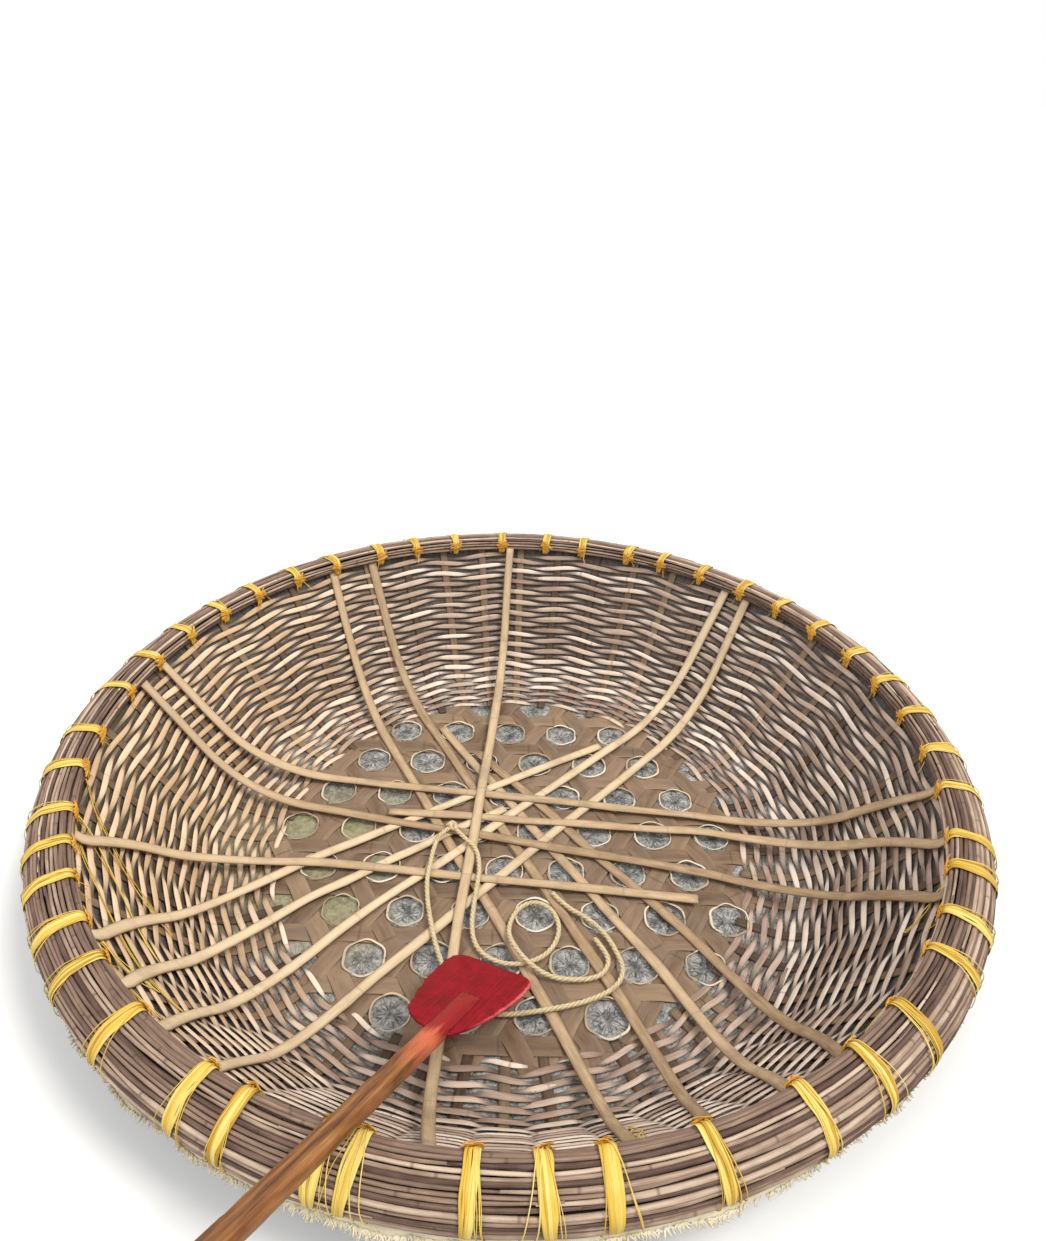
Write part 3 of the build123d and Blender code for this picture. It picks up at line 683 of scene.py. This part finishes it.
def rib_route(heading, aside, back, ahead, reach, n):
    """Points and inward directions of a whole rib, from the end behind its heading."""
    h = math.radians(heading)
    way, right = around(h, 1, 0), around(h - TURN / 4, 1, 0)
    middle = right * aside + UP * n
    ends = []
    for landing, sign, facing in ((back, -1, heading + 180), (ahead, 1, heading)):
        if landing:
            ends.append(rib_end(lambda r: facing - sign * np.degrees(np.arcsin(aside / r)), landing, n))
        else:
            ends.append(((middle + sign * reach * way)[None], UP[None]))
    first, last = [p[::-1] for p in ends[0]], ends[1]
    length = np.linalg.norm(last[0][0] - first[0][-1])
    floor = first[0][-1] + (last[0][0] - first[0][-1]) * np.linspace(0, 1, int(length / 0.02))[1:-1, None]
    return (np.concatenate([first[0], floor, last[0]]),
            np.concatenate([first[1], np.broadcast_to(UP, floor.shape), last[1]]))


def long_ribs():
    for name, heading, aside, layer, back, ahead, reach in RIBS:
        n = RIB_BASE + LAYER * layer + RIB_THICK / 2
        path, inward = rib_route(heading, aside, back, ahead, reach, n)
        side, up = frames(path, inward)
        path = path + side * wander(len(path), 5, 0.0022)[:, None]
        run = np.cumsum(np.linalg.norm(np.gradient(path, axis=0), axis=1))
        joints = np.exp(-(((run / JOINT_SPACING + uniform()) % 1 - 0.5) * JOINT_SPACING / 0.008) ** 2)
        width = RIB_HALF * (0.9 + wander(len(path), 8, 0.055) + 0.08 * joints)
        scale = np.stack([np.minimum(width, RIB_HALF + 0.0006), 1 + 0.15 * joints], -1)
        rib = Shape()
        tone = uniform(*RIB_TONES[name.split("_")[1]])
        rib.sweep(path, side, up, RIB_SECTION, tone=tone, scale=scale, wear=RIB_EDGE, start=uniform(0, 3))
        rib.build(name + "_split", rib_bamboo, "bamboo_rib", name)


long_ribs()

# Rim. Columns of the canes' places: radius, height of the middle
CANES = [
    (1.1555, 0.442), (1.1575, 0.453), (1.1595, 0.463), (1.168, 0.4695), (1.1775, 0.471), (1.187, 0.4708),
    (1.1965, 0.47), (1.206, 0.4692), (1.215, 0.468), (1.224, 0.466), (1.2325, 0.4625), (1.24, 0.4565),
    (1.247, 0.45), (1.2535, 0.4425), (1.259, 0.434), (1.2625, 0.4245), (1.264, 0.4145), (1.264, 0.4045),
    (1.261, 0.3955)]
# Smallest and largest radius of a cane, and the farthest out that one may reach
CANE_SIZE, CANE_LIMIT = (0.0038, 0.0061), 1.2722
# How far a cane's ends lap and the step between its points, in radians
CANE_LAP, CANE_STEP = 0.02, 0.035


def rim_bundle():
    """Canes round the core, each place made up of a few lengths whose tapered ends lap."""
    shape = Shape()
    for radius, height in CANES:
        start = uniform(0, TURN)
        pieces = rng.integers(3, 6)
        cuts = np.arange(pieces + 1) + np.concatenate([[0], uniform(-0.3, 0.3, pieces - 1), [0]])
        for a, b in zip(cuts / pieces * TURN, cuts[1:] / pieces * TURN):
            theta = start + np.linspace(a - CANE_LAP, b + CANE_LAP, int((b - a) / CANE_STEP))
            size = uniform(*CANE_SIZE)
            taper = 0.45 + 0.55 * smooth_steps(len(theta), 4)
            r = radius - 0.0006 + wander(len(theta), 8, 0.0011) + normal() * 0.0008
            z = height + CANE_SIZE[0] - size * taper + wander(len(theta), 7, 0.0011)
            path = around(theta, np.minimum(r, CANE_LIMIT - size), z)
            squash = np.array([1.0, uniform(0.7, 1.0)])
            shape.lay(path, UP, round_section(size, 7) * squash, tone=rng.beta(0.7, 0.8), scale=taper,
                      start=uniform(0, 3))
    shape.build("rim_bundle", rim_bamboo, "bamboo_rim", "rim_canes")


def inner_band():
    """Two flat bands that hold the top of the wall from inside. Columns: n, s, width, thickness"""
    shape = Shape()
    theta = circle(4 * BAYS)
    for n, s, wide, thick in ((0.0235, 0.603, 0.021, 0.007), (0.0268, 0.598, 0.012, 0.004)):
        shape.lay(around(theta, *bowl(s, n)), inwards(theta, s), flat_section(wide, thick), tone=0.4, closed=True)
    shape.build("inner_band", rim_bamboo, "bamboo_rim", "inner_hoop")


rim_bundle()
inner_band()
# The rim's core takes the near-black bamboo, painted shade in the gaps between the canes.
core_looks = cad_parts["rim_core"].data.materials
core_looks.clear()
core_looks.append(shaded_core_bamboo)

# Lashings: at the azimuths seen, and evenly on the far side
SEEN = [189.7, 197.9, 203.6, 209.3, 216.2, 222.4, 230.9, 241.3, 246.2, 254.7, 257.6, 267.4, 273.6, 279, 288.2,
        298.3, 305.9, 313.3, 322.7, 328.8, 336.6, 342.0]
FAR_COUNT = 25
FAR_STEP = (360 - SEEN[-1] + SEEN[0]) / (FAR_COUNT + 1)
PLACES = SEEN + [SEEN[-1] + (k + 1) * FAR_STEP + uniform(-1, 1) for k in range(FAR_COUNT)]
# The way over the rim, from its inner edge to under its outer one. Columns: radius, height
OVER = np.array([
    (1.1505, 0.424), (1.15, 0.436), (1.1503, 0.45), (1.1522, 0.464), (1.159, 0.4738), (1.17, 0.4768),
    (1.185, 0.477), (1.205, 0.4755), (1.224, 0.4722), (1.238, 0.4645), (1.25, 0.454), (1.261, 0.4425),
    (1.268, 0.429), (1.27, 0.415), (1.2698, 0.402), (1.265, 0.3925), (1.256, 0.39)])
STRAP_STEPS, STRAP_THICK = 34, 0.0012
OVER_R, OVER_Z = evenly(OVER, STRAP_STEPS)[0].T
OUTWARD = unit(np.stack([-np.gradient(OVER_Z), np.gradient(OVER_R)], -1))
TURNED = np.linspace(0, 1, STRAP_STEPS)
# Twine over a lashing: how far off the rim it lies, and the farthest out that it may reach
TWINE_LIFT, TWINE_LIMIT = 0.0024, 1.272
KNOT_RADIUS, KNOT_HEIGHT, KNOT_STEPS = 1.15, 0.46, 9


def over_rim(middle, offset, out, high, limit):
    """A line over the rim, beside azimuth middle and off the canes, and the way it faces."""
    radius, height = np.minimum(OVER_R + OUTWARD[:, 0] * out, limit), OVER_Z + OUTWARD[:, 1] * high
    return around(middle + offset / OVER_R, radius, height), around(middle, *OUTWARD.T)


def strap(shape, middle):
    """One lashing: flat strands side by side, drawn together where they are knotted."""
    strands = rng.integers(5, 8)
    wide = uniform(0.024, 0.033)
    slant = normal() * 0.007
    gather = 0.5 + 0.5 * np.sin(math.pi * clamp(TURNED * 1.1)) ** 0.7
    wear = clamp(1.1 - TURNED * 7)[:, None]
    for k in range(strands):
        offset = ((k + 0.5) / strands - 0.5) * wide * gather + slant * (TURNED - 0.5) + wander(STRAP_STEPS, 3, 0.0012)
        high = uniform(0.0, 0.0018)
        shape.lay(*over_rim(middle, offset, high * 0.6, high, CANE_LIMIT),
                  flat_section(wide / strands * uniform(1.1, 1.5), STRAP_THICK), tone=uniform(), wear=wear,
                  start=uniform(0, 3))


def knot_bunch(shape, middle):
    """Turns and short tails of twine where a lashing is tied, at the rim's inner edge."""
    t = np.linspace(0, 1, KNOT_STEPS)
    for k in range(rng.integers(9, 13)):
        reach, lean = uniform(0.011, 0.026), normal() * 0.6
        along = (2 * t - 1) * reach * math.cos(lean)
        drop = (2 * t - 1) * reach * math.sin(lean) + uniform(-0.012, 0.008)
        bulge = uniform(0.002, 0.006) * np.sin(math.pi * t)
        height = KNOT_HEIGHT + drop + 0.3 * bulge
        path = around(middle + along / KNOT_RADIUS, KNOT_RADIUS - 0.001 - bulge, height)
        shape.lay(path, around(middle, -1.0, 0.3), flat_section(uniform(0.003, 0.007), 0.0014),
                  tone=uniform(), wear=uniform(0.5, 1), start=uniform(0, 3))
    for k in range(rng.integers(1, 4)):
        reach, drift = uniform(0.02, 0.055), normal() * 0.022
        s = WALL_TOP + 0.02 - reach * t * 1.3
        offset = drift * t + wander(KNOT_STEPS, 2, 0.002)
        path = around(middle + offset / KNOT_RADIUS, *bowl(s, 0.0325 - 0.006 * t))
        shape.lay(path, inwards(middle, s), flat_section(uniform(0.0015, 0.003), 0.0008), tone=uniform(),
                  wear=0.4)


def lashings():
    """All lashings with their knots; gives back the twine over them, which isn't built yet."""
    straps, twine = Shape(), Shape()
    for azimuth in PLACES:
        middle = math.radians(azimuth)
        strap(straps, middle)
        knot_bunch(straps, middle)
        for k in range(rng.integers(2, 5)):
            drift = rng.choice([-1, 1]) * uniform(0.012, 0.052)
            offset = drift * TURNED + wander(STRAP_STEPS, 2, 0.002)
            twine.lay(*over_rim(middle, offset, TWINE_LIFT, TWINE_LIFT, TWINE_LIMIT),
                      round_section(uniform(0.0008, 0.0013), 5), tone=uniform(0.3, 1))
    straps.build("lashings", plastic, "plastic_strap", "rim_lashings")
    return twine


# Loose twine on the wall: azimuth and distance along the bowl of each bend
LOOSE = [
    [(189, 0.6), (193, 0.55), (199, 0.47), (206, 0.36), (212, 0.28)],
    [(196, 0.6), (200, 0.52), (206, 0.44), (214, 0.4), (221, 0.37)],
    [(197, 0.6), (202, 0.56), (211, 0.5), (221, 0.47), (229, 0.41)],
    [(215, 0.6), (218, 0.56), (222, 0.51), (225, 0.45)],
    [(216, 0.6), (221, 0.58), (227, 0.53), (231, 0.52)],
    [(318, 0.6), (315, 0.57), (312, 0.55), (309, 0.58)],
    [(336, 0.6), (334, 0.56), (331, 0.52), (329, 0.47)],
    [(283, 0.6), (284, 0.52), (285, 0.4), (285.5, 0.3)],
    [(262, 0.6), (263.5, 0.54), (262.5, 0.48)],
]
# Strands along each way, points of a strand, and how many of them a bend is smoothed over
STRANDS, STRAND_STEPS, SMOOTH = 3, 36, 9


def loose_twine(shape):
    """Adds the loose strands to the twine, and builds it."""
    for bends in LOOSE:
        for k in range(STRANDS):
            p = np.array(bends) + normal(size=(len(bends), 2)) * (0.5, 0.006)
            p[0] = bends[0]
            fine = np.linspace(0, len(p) - 1, STRAND_STEPS)
            lines = [np.pad(np.interp(fine, np.arange(len(p)), column), SMOOTH // 2, "edge") for column in p.T]
            theta, s = [np.convolve(line, np.ones(SMOOTH) / SMOOTH, "valid") for line in lines]
            theta = np.radians(theta + wander(STRAND_STEPS, 3, 0.25))
            path = around(theta, *bowl(s, 0.0205 + 0.002 * uniform()))
            shape.lay(path, inwards(theta, s), flat_section(uniform(0.002, 0.0042), 0.0008), tone=uniform())
    shape.build("twine", plastic, "plastic_strap")


loose_twine(lashings())

# Sacking edge under the rim. Columns of its section: radius, height
HEM = [(1.215, 0.3905), (1.24, 0.3895), (1.256, 0.3885), (1.2625, 0.385)]
HEM_NEAR, HEM_SPREAD, HEM_TURNS = math.radians(268), 0.55, 720
# Loose threads all round, tufts on the near side, threads of a tuft and their thickness along them
THREADS, TUFTS, TUFT_THREADS, THREAD_TAPER = 1500, 150, 22, [1.0, 1.2, 0.9, 0.4]


def sacking_edge():
    """The skin's sacking, turned out under the rim: ragged and pale on the near side, short beyond."""
    theta = circle(HEM_TURNS)
    ragged = 0.24 + 0.76 * np.exp(-((theta - HEM_NEAR) / HEM_SPREAD) ** 2) + wander(HEM_TURNS, 24, 0.05)
    drop = ragged * (0.007 + np.abs(wander(HEM_TURNS, 50, 0.008)) + 0.006 * uniform(size=HEM_TURNS))
    wave = wander(HEM_TURNS, 60, 0.003)
    rows = [around(theta, r, z) for r, z in HEM]
    rows += [around(theta, HEM[-1][0] + wave * f + 0.35 * drop * f, HEM[-1][1] - drop * f) for f in (0.5, 1.0)]
    rows = np.stack(rows, 1)
    uv = np.stack(np.broadcast_arrays(theta[:, None] * 1.25, np.arange(rows.shape[1]) * 0.012), -1)
    hem, fray = Shape(), Shape()
    hem.grid(rows, uv, closed=True, wear=np.repeat(0.8 - 0.8 * ragged, rows.shape[1]))
    t = np.linspace(0, 1, len(THREAD_TAPER))[:, None]
    tufts = HEM_NEAR + HEM_SPREAD * normal(size=TUFTS)
    loose = uniform(0, TURN, THREADS)
    tufted = np.repeat(tufts, TUFT_THREADS) + normal(size=TUFTS * TUFT_THREADS) * 0.006
    for root in np.concatenate([loose, tufted]):
        at = int(root % TURN / TURN * HEM_TURNS)
        if uniform() > ragged[at]:
            continue
        out = around(theta[at], 1.0, 0.0)
        size = uniform(0.006, 0.02) * ragged[at]
        aim = out * uniform(-0.2, 0.9) + np.cross(UP, out) * normal() * 0.9 - UP * uniform(0.1, 1.0)
        path = rows[at, -1] + UP * 0.003 + unit(aim) * size * t + out * 0.004 * t ** 2
        fray.lay(path, out, round_section(uniform(0.0007, 0.0024), 4), tone=uniform(), scale=THREAD_TAPER,
                 wear=0.7 * (1 - ragged[at]))
    hem.build("sacking_edge", sacking, "skin", "skin_hem")
    fray.build("sacking_fray", sacking, "skin")


sacking_edge()

# Paddle: its axis and free end as the part prints them
AXIS = np.array([-0.294167, -0.774588, 0.559892])
FREE_END = np.array([-0.46166, -1.62769, 0.870867])
PADDLE_LENGTH = 1.5
TIP = FREE_END - PADDLE_LENGTH * AXIS
LIFT = unit(UP - AXIS[2] * AXIS)
ASIDE = np.cross(AXIS, LIFT)
# Blade's outline from the left of its root, round the tip, to the right of its root.
# Columns: distance from the tip, distance to the left
BLADE = [
    (0.446, 0.022), (0.44, 0.052), (0.424, 0.066), (0.416, 0.08), (0.402, 0.087), (0.392, 0.097), (0.33, 0.105),
    (0.318, 0.112), (0.25, 0.119), (0.236, 0.125), (0.127, 0.131), (0.074, 0.132), (0.026, 0.129), (0.002, 0.116),
    (-0.006, 0.092), (-0.006, 0.01), (-0.003, -0.045), (0.002, -0.078), (0.012, -0.09), (0.04, -0.097),
    (0.11, -0.098), (0.19, -0.091), (0.29, -0.076), (0.37, -0.056), (0.42, -0.041), (0.446, -0.028)]
BLADE_STEPS, BLADE_EDGE, BLADE_THICK = 181, 0.003, 0.0078
# Ends of the middle line that the board is thickest along, and the steps from it to the edge
SPINE = (0.09, 0.37)
BLADE_PARTS = np.array([0.0, 0.2, 0.4, 0.58, 0.72, 0.84, 0.92, 0.97, 1.0])
LAP_START, BLADE_END = 0.235, 0.4403
SHAFT_R, SHAFT_SIDES, GRIP_R, GRIP_START = 0.026, 32, 0.024, 1.2


def paddle_place(flat, height):
    """Points from distances along and to the left of the paddle, and a height above its middle."""
    return TIP + flat[..., :1] * AXIS + flat[..., 1:] * ASIDE + np.asarray(height)[..., None] * LIFT


def blade():
    """A hand-cut board, thin at its edges and swelling towards the middle."""
    edge, run = [v[:-1] for v in evenly(np.array(BLADE + BLADE[:1]), BLADE_STEPS)]
    edge = 0.5 * edge + 0.25 * (np.roll(edge, 1, 0) + np.roll(edge, -1, 0))
    edge += 0.0008 * np.sin(run * 190)[:, None] * (1, 0.5) + 0.0006 * normal(size=edge.shape)
    spine = np.stack([np.clip(edge[:, 0], *SPINE), 0 * edge[:, 0]], -1)
    part = np.concatenate([BLADE_PARTS, BLADE_PARTS[::-1]])[:, None]
    swell = BLADE_EDGE + (BLADE_THICK - BLADE_EDGE) * (1 - part ** 3)
    height = swell * np.repeat([1, -1], len(BLADE_PARTS))[:, None]
    flat = spine + (edge - spine) * part[..., None]
    rows = paddle_place(flat, np.repeat(height, len(edge), 1))
    # Edge wear, fullest along the right edge, where it also stands for a painted highlight.
    wear = clamp((part - 0.84) / 0.16) * np.clip(-edge[:, 1] / 0.1, 0.25, 1)
    rows, flat, wear = [np.concatenate([v, v[:, :1]], 1) for v in (rows, flat, wear)]
    shape = Shape()
    shape.grid(rows[::-1], flat[::-1], wear=wear[::-1].reshape(-1))
    shape.build("blade", red_paint, "red_paint", "paddle_blade", body="paddle")


def shaft():
    """A turned pole, a little uneven, cut back to a wedge that lies on the blade."""
    x = np.concatenate([np.linspace(LAP_START + 0.001, 0.46, 44), np.linspace(0.47, PADDLE_LENGTH - 0.0005, 150)])
    a = circle(SHAFT_SIDES)
    radius = np.interp(x, [LAP_START, GRIP_START, PADDLE_LENGTH], [SHAFT_R, GRIP_R, GRIP_R]) - 0.0004
    radius = radius - 0.001 * np.abs(np.sin(x * 9 + np.sin(x * 21))) * (x < GRIP_START)
    radius[-1] *= 0.9
    across, high = np.cos(a)[None] * radius[:, None], np.sin(a)[None] * radius[:, None]
    ragged = 0.0012 * np.sin(across * 900) + 0.0008 * np.sin(across * 2100 + 1)
    top = np.interp(x, [LAP_START, 0.4], [0.0105, 0.044])[:, None] + ragged
    high = np.minimum(high, np.maximum(top, 0.009))
    high = np.where((x < BLADE_END)[:, None], np.maximum(high, BLADE_THICK + 0.0005), high)
    path = TIP + x[:, None] * AXIS
    smear = np.clip((0.75 - x) / 0.26, 0, 1.6)[:, None]
    shape = Shape()
    shape.lay(path, LIFT, np.stack([across, high], -1), wear=smear)
    shape.build("shaft", varnish, "varnished_wood", "paddle_shaft", body="paddle")


blade()
shaft()

# Rope: its two strands leave the knot and lie over the ribs. Points repeat the part's route
SHORT = [(-0.19666, 0.02656, 0.046), (-0.22386, 0.00453, 0.046), (-0.238, -0.06, 0.043), (-0.241, -0.11, 0.0415),
         (-0.246, -0.168, 0.0415), (-0.238, -0.24, 0.03), (-0.224, -0.303, 0.0365), (-0.205, -0.38, 0.0365),
         (-0.18, -0.456, 0.046), (-0.148, -0.527, 0.046), (-0.098, -0.576, 0.046), (-0.03, -0.601, 0.03),
         (0.045, -0.592, 0.031), (0.13, -0.576, 0.0317), (0.21, -0.553, 0.031), (0.282, -0.514, 0.0317),
         (0.31, -0.462, 0.0317), (0.297, -0.405, 0.028), (0.268, -0.34, 0.028), (0.218, -0.288, 0.031),
         (0.158, -0.252, 0.0317), (0.122, -0.204, 0.0317)]
LONG = [(-0.17367, 0.02201, 0.046), (-0.14535, -0.01296, 0.046), (-0.106, -0.052, 0.046), (-0.093, -0.124, 0.0415),
        (-0.097, -0.184, 0.0415), (-0.104, -0.262, 0.0365), (-0.106, -0.34, 0.028), (-0.087, -0.402, 0.028),
        (-0.04, -0.439, 0.028), (0.018, -0.452, 0.0317), (0.078, -0.434, 0.0317), (0.121, -0.392, 0.028),
        (0.142, -0.33, 0.029), (0.127, -0.272, 0.0317), (0.086, -0.238, 0.0317), (0.042, -0.242, 0.028),
        (0.008, -0.284, 0.028), (-0.005, -0.344, 0.032), (0.012, -0.404, 0.05), (0.058, -0.463, 0.05),
        (0.113, -0.486, 0.031), (0.165, -0.489, 0.028), (0.214, -0.489, 0.031), (0.252, -0.472, 0.0317),
        (0.272, -0.434, 0.0317), (0.26, -0.392, 0.028), (0.236, -0.356, 0.028)]
KNOT = [(-0.012, -0.013, 0.0), (-0.014, -0.004, 0.005), (-0.01, 0.008, 0.007), (0.0, 0.011, 0.001),
        (0.009, 0.006, -0.005), (0.011, -0.004, -0.004), (0.004, -0.01, 0.004), (-0.005, -0.006, 0.008),
        (-0.007, 0.004, 0.001), (0.0, 0.009, -0.005), (0.009, 0.003, 0.002), (0.016, 0.0, 0.0)]
KNOT_PLACE, KNOT_TURN = np.array([-0.185, 0.036, 0.046]), math.radians(-51)
# Radius of the rope, and of its strands where they are pulled tight in the knot
ROPE_R, KNOT_R = 0.0072, 0.0058
ROPE_LAY, ROPE_SIDES = 0.044, 18


def smooth_line(points, spacing):
    """Points at an even spacing along the NURBS curve of a route."""
    curve = bpy.data.curves.new("route", "CURVE")
    curve.dimensions = "3D"
    curve.resolution_u = 24
    spline = curve.splines.new("NURBS")
    spline.points.add(len(points) - 1)
    for point, place in zip(spline.points, points):
        point.co = (*place, 1)
    spline.order_u = 3
    spline.use_endpoint_u = True
    obj = bpy.data.objects.new("route", curve)
    mesh = bpy.data.meshes.new_from_object(obj)
    line = np.array([v.co for v in mesh.vertices])
    bpy.data.objects.remove(obj)
    bpy.data.curves.remove(curve)
    bpy.data.meshes.remove(mesh)
    length = run_along(line)[-1]
    return evenly(line, int(length / spacing) + 1)[0], length


def laid_rope(name, path, radius, node):
    """Three strands laid up: a three-lobed section that turns along the path."""
    along = unit(np.gradient(path, axis=0))
    side = np.zeros_like(path)
    side[0] = unit(np.cross(along[0], UP))
    for i in range(1, len(path)):
        side[i] = side[i - 1] - along[i] * (side[i - 1] @ along[i])
        side[i] /= np.linalg.norm(side[i])
    up = np.cross(side, along)
    a = circle(ROPE_SIDES)
    lobe = np.abs(np.cos(1.5 * a))
    turned = np.arange(len(path)) * np.linalg.norm(path[1] - path[0]) / ROPE_LAY * TURN
    section = around(a + turned[:, None], radius * (0.8 + 0.2 * lobe), 0)[..., :2]
    shape = Shape()
    # The wear attribute is highest in the grooves between the lobes, for painted shade there.
    shape.sweep(path, side, up, section, wear=(1 - lobe) ** 2)
    return shape.build(name, rope_fibre, "rope", node)


c, s = math.cos(KNOT_TURN), math.sin(KNOT_TURN)
knot_points = np.array(KNOT) @ np.array([[c, s, 0], [-s, c, 0], [0, 0, 1]]) + KNOT_PLACE
knot = laid_rope("knot", smooth_line(knot_points, 0.0025)[0], KNOT_R, "rope_knot")
for name, route, node in (("rope_a", SHORT, "rope_short"), ("rope_b", LONG, "rope_long")):
    path, length = smooth_line(route, 0.004)
    strand = laid_rope(name, path, ROPE_R, node)

# Stage, light and camera
HULL_AT_WATER, GROUND_R, GROUND_TURNS = 1.0135, 60.0, 96
SHADED, SEEN_PALE = (0.42, 0.42, 0.42, 1), (0.9, 0.91, 0.92, 1)


def stage_plane():
    """A pale floor at the waterline, open where the boat sits in it."""
    edges = [around(circle(GROUND_TURNS), r, WATERLINE) for r in (HULL_AT_WATER, GROUND_R)]
    ring = [(i, (i + 1) % GROUND_TURNS) for i in range(GROUND_TURNS)]
    faces = [(GROUND_TURNS + i, GROUND_TURNS + k, k, i) for i, k in ring]
    mesh = bpy.data.meshes.new("ground")
    mesh.from_pydata(np.concatenate(edges).tolist(), [], faces)
    m = material_nodes("ground")
    camera_ray = m.new("LightPath").outputs["Is Camera Ray"]
    mesh.materials.append(m.finish(m.mix(camera_ray, SHADED, SEEN_PALE), 0.9, 0.1))
    obj = show("ground", mesh)


def sky():
    """Soft even light, and a plain pale ground to the eye."""
    scene.world = bpy.data.worlds.new("sky")
    m = Nodes(scene.world)
    light = m.tree.nodes["Background"]
    m.put(light.inputs["Color"], (1.0, 0.98, 0.95, 1))
    m.put(light.inputs["Strength"], 0.85)
    mix = m.new("MixShader", Fac=m.new("LightPath").outputs["Is Camera Ray"])
    m.put(mix.inputs[1], light.outputs[0])
    m.put(mix.inputs[2], m.new("Background", Color=(1, 1, 1, 1)).outputs[0])
    m.put(m.tree.nodes["World Output"].inputs["Surface"], mix.outputs[0])


def sun(name, away, strength, spread, colour):
    """A far lamp that shines from the way away, with soft shadows."""
    light = bpy.data.lights.new(name, "SUN")
    light.energy, light.angle, light.color = strength, math.radians(spread), colour
    show(name, light).rotation_euler = Vector(away).to_track_quat("Z", "Y").to_euler()


stage_plane()
sky()
sun("key", (0.6, -0.15, 1.0), 2.05, 22, (1.0, 0.96, 0.9))
sun("fill", (-0.8, -0.4, 1.0), 0.75, 40, (0.96, 0.98, 1.0))

camera = bpy.data.cameras.new("camera")
camera.sensor_width = 36.0
camera.lens = 26.175
camera.clip_end = 100
view = show("camera", camera)
right, up, back = (0.999548, 0.011689, 0.027712), (-0.02967, 0.534274, 0.84479), (-0.004931, -0.84523, 0.53438)
view.matrix_world = Matrix.Translation((0, -1.994959, 2.095804)) @ Matrix((right, up, back)).transposed().to_4x4()
scene.camera = view
scene.view_settings.view_transform = "Standard"

bpy.context.view_layer.update()
